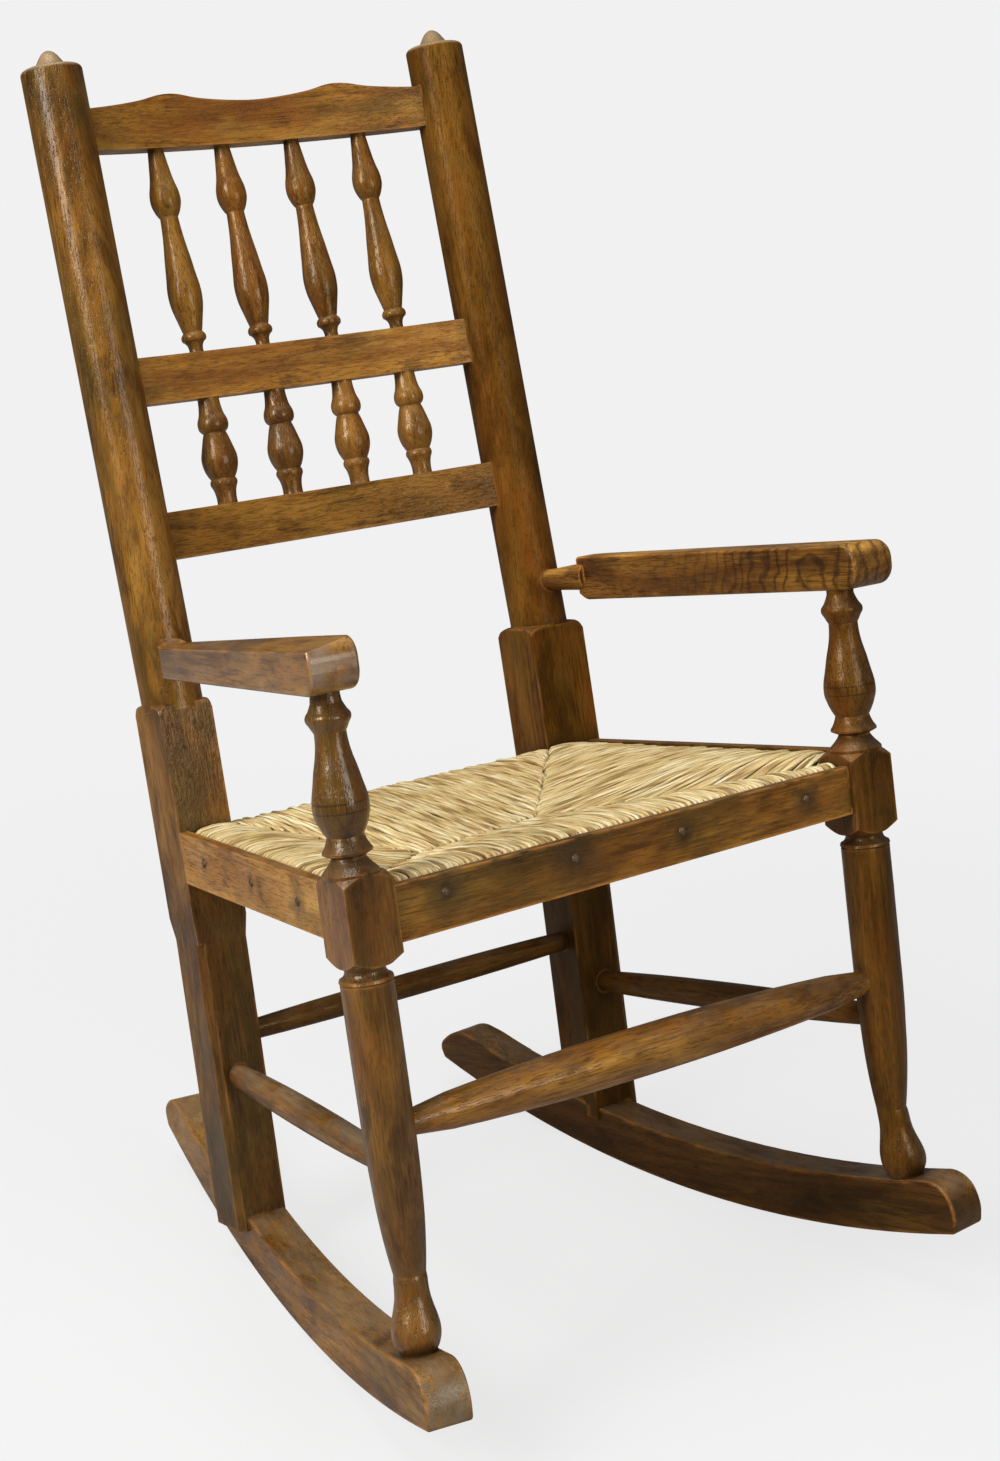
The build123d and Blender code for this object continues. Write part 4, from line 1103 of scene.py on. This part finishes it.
# %% The weave as a mesh
mesh = bpy.data.meshes.new("woven_rush")
mesh.from_pydata([tuple(chair(*spot)) for spot in weave.points], [], weave.faces)
for label, values in (("tint", weave.tint), ("run", weave.run), ("turn", weave.turn)):
    mesh.attributes.new(label, "FLOAT", "POINT").data.foreach_set("value", np.array(values, dtype=np.float32))
mesh.polygons.foreach_set("use_smooth", [True] * len(mesh.polygons))
woven = bpy.data.objects.new("woven_rush", mesh)
bpy.context.scene.collection.objects.link(woven)
print("rush:", len(mesh.vertices), "points,", len(mesh.polygons), "faces")

# %% [markdown]
# ## Stuffing
#
# Between the upper and the lower layer the weaver packs broken rush. It is hardly seen, but it stops the
# light that would otherwise come up between the cords. Thousands of loose stalks would be a waste: one
# dark sheet under the top layer, one over the bottom layer and a wall between them do its work. They are
# coloured dark brown as painted shade, not the colour of rush.

# %% Stuffing between the two layers
STATIONS, STEPS = 15, 8              # rows along a rail, and points from the rail in to the seam
STUFFING_FACE = 9.0                  # how far in from the face it starts


def sheet_of(shell, rows):
    """Rows of places as a sheet of faces; gives back its corners."""
    rows = [[shell.verts.new(tuple(chair(*spot))) for spot in row] for row in rows]
    for a, b in zip(rows, rows[1:]):
        for k in range(len(a) - 1):
            shell.faces.new((a[k], a[k + 1], b[k + 1], b[k]))
    return rows


def stuffing():
    """Dark body under the cords, so that no light comes through between them; its dark colour is painted shade."""
    shell = bmesh.new()
    for field in FIELDS:
        places = field_places(field)
        upper, lower = [], []
        for at in np.linspace(places[0], places[-1], STATIONS):
            reach, seam = reach_of(field, at)
            inwards = [STUFFING_FACE + (reach - STUFFING_FACE) * share for share in np.linspace(0, 1, STEPS)]
            tops = [top_at(field, at, inward, reach, seam) - 2.0 * CORD for inward in inwards]
            upper.append([place_in(field, at, inward, top) for inward, top in zip(inwards, tops)])
            lower.append([place_in(field, at, inward, UNDERSIDE + 2 * CORD) for inward in inwards])
        upper, lower = sheet_of(shell, upper), sheet_of(shell, lower)
        for n in range(STATIONS - 1):
            shell.faces.new((upper[n][0], lower[n][0], lower[n + 1][0], upper[n + 1][0]))
    bmesh.ops.recalc_face_normals(shell, faces=shell.faces)
    mesh = bpy.data.meshes.new("rush_stuffing_shade")
    shell.to_mesh(mesh)
    shell.free()
    body = bpy.data.objects.new("rush_stuffing_shade", mesh)
    bpy.context.scene.collection.objects.link(body)
    return body


filling = stuffing()
print("stuffing:", len(filling.data.polygons), "faces")

# %% [markdown]
# ## Dry rush
#
# Rush leaves dry to straw with green, tan and brown ones among them. Each cord shows leaves that wind
# round it, fine ribs along every leaf, a dark line where two leaves meet, and dirt where hands and
# clothes rub. An image would have to be laid on every cord. The cord's own length and turn are stored on
# its points instead, so a noise read from them follows the twist by itself.

# %% Colours of rush, as linear light
STRAW = ((0.0, (0.36, 0.225, 0.070)), (1.0, (1.0, 0.86, 0.52)),
         (0.25, (0.72, 0.52, 0.21)), (0.6, (0.88, 0.68, 0.33)))
RIB_SHADE = (0.22, 0.135, 0.045)
LEAF_EDGE = (0.16, 0.095, 0.032)
WARM_RUSH = (0.52, 0.27, 0.075)
GRIME = (0.240, 0.170, 0.080)
RUSH_GAP_SHADE = (0.060, 0.036, 0.014)
FRONT_EDGE = chair(0, FRONT_FACE, 360).y
GRIME_REACH = 0.030
print("rush starts at", round(FRONT_EDGE, 4), "m")


# %% Leaves
def stored(tree, label):
    """A number stored on the points of the weave."""
    return add(tree, "ShaderNodeAttribute", attribute_name=label).outputs["Fac"]


def combined(tree, x, y, z):
    return add(tree, "ShaderNodeCombineXYZ", {0: x, 1: y, 2: z}).outputs[0]


def leaves(tree):
    """Colour of the leaves, the ribs along them, and where two of them meet."""
    tint, run, turn = (stored(tree, label) for label in ("tint", "run", "turn"))
    leaf, across = math_node(tree, "FLOOR", turn), math_node(tree, "FRACT", turn)
    slot = combined(tree, times(tree, tint, 57.0), times(tree, leaf, 3.7), times(tree, run, 0.016))
    pick = between(tree, noise(tree, slot, 1.0, 1.0), 0.33, 0.67)
    base = ramp(tree, pick, *STRAW)
    fine = combined(tree, times(tree, run, 0.035), times(tree, turn, 4.0), times(tree, tint, 31.0))
    rib = noise(tree, fine, 1.0, 3.0, Roughness=0.6)
    base = mix(tree, times(tree, between(tree, rib, 0.50, 0.30), 0.7), base, RIB_SHADE)
    meet = between(tree, math_node(tree, "ABSOLUTE", less(tree, across, 0.5)), 0.43, 0.49)
    return mix(tree, times(tree, meet, 0.5), base, LEAF_EDGE), rib, meet


print(LEAVES, "leaf edges show round a cord")


# %% Warm patches, grime and painted shade in the gaps
def handled_and_shaded(tree, base):
    """Warm patches, grime along the front edge, and painted shade where light can't get in."""
    where = add(tree, "ShaderNodeTexCoord").outputs["Object"]
    blotch = noise(tree, where, 17.0, 3.0, Roughness=0.6)
    base = mix(tree, times(tree, between(tree, blotch, 0.54, 0.68), 0.35), base, WARM_RUSH)
    depth = add(tree, "ShaderNodeSeparateXYZ", {0: where}).outputs[1]
    edge = between(tree, depth, FRONT_EDGE + GRIME_REACH, FRONT_EDGE, 0.0, 0.12)
    base = mix(tree, times(tree, edge, between(tree, blotch, 0.42, 0.60)), base, GRIME)
    # Painted shade: the gaps between cords are darkened where light can't get in.
    hollow = add(tree, "ShaderNodeAmbientOcclusion", {"Distance": 0.008}, samples=4, only_local=False)
    return mix(tree, between(tree, hollow.outputs["AO"], 0.30, 0.85, 0.85, 0.0), base, RUSH_GAP_SHADE)


print("grime reaches", GRIME_REACH * 1000, "mm in from the front edge")


# %% Rush, and stuffing painted dark as shade
# Painted shade: the stuffing is given this dark brown rather than the colour of rush.
STUFFING_SHADE = (0.045, 0.028, 0.012, 1.0)


def rush():
    """Dry twisted rush, dull, with its ribs in relief."""
    material, tree = new_material("rush")
    base, rib, meet = leaves(tree)
    base = handled_and_shaded(tree, base)
    bump = add(tree, "ShaderNodeBump", {"Height": less(tree, times(tree, rib, 0.5), meet), "Distance": 0.0007,
                                        "Strength": 0.7})
    surface = add(tree, "ShaderNodeBsdfPrincipled", {"Base Color": base, "Normal": bump.outputs[0]})
    surface.inputs["Roughness"].default_value = 0.55
    surface.inputs["Specular IOR Level"].default_value = 0.35
    add(tree, "ShaderNodeOutputMaterial", {"Surface": surface.outputs[0]})
    return material


def stuffing_shade_finish():
    """Dark brown and dull: painted shade, as it lies in the dark."""
    material, tree = new_material("rush_stuffing_shade")
    surface = add(tree, "ShaderNodeBsdfPrincipled")
    surface.inputs["Base Color"].default_value = STUFFING_SHADE
    surface.inputs["Roughness"].default_value = 0.9
    add(tree, "ShaderNodeOutputMaterial", {"Surface": surface.outputs[0]})
    return material


woven.data.materials.append(rush())
filling.data.materials.append(stuffing_shade_finish())
print("rush finished:", woven.data.materials[0].name, filling.data.materials[0].name)

# %% [markdown]
# ## The weave takes the slab's place
#
# In the joinery the seat is one smooth slab, which is all that the chair's weight and balance need. The
# weave and its stuffing stand in for it and ride on the same body, so they rock with the chair. The slab
# could be hidden by hand, but then nothing would say which piece of the scene it had become.

# %% Replace the slab
for piece in (woven, filling):
    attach(piece, "root")
    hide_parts("rush_seat")
print("the slab gives way to", woven.name, "and", filling.name)
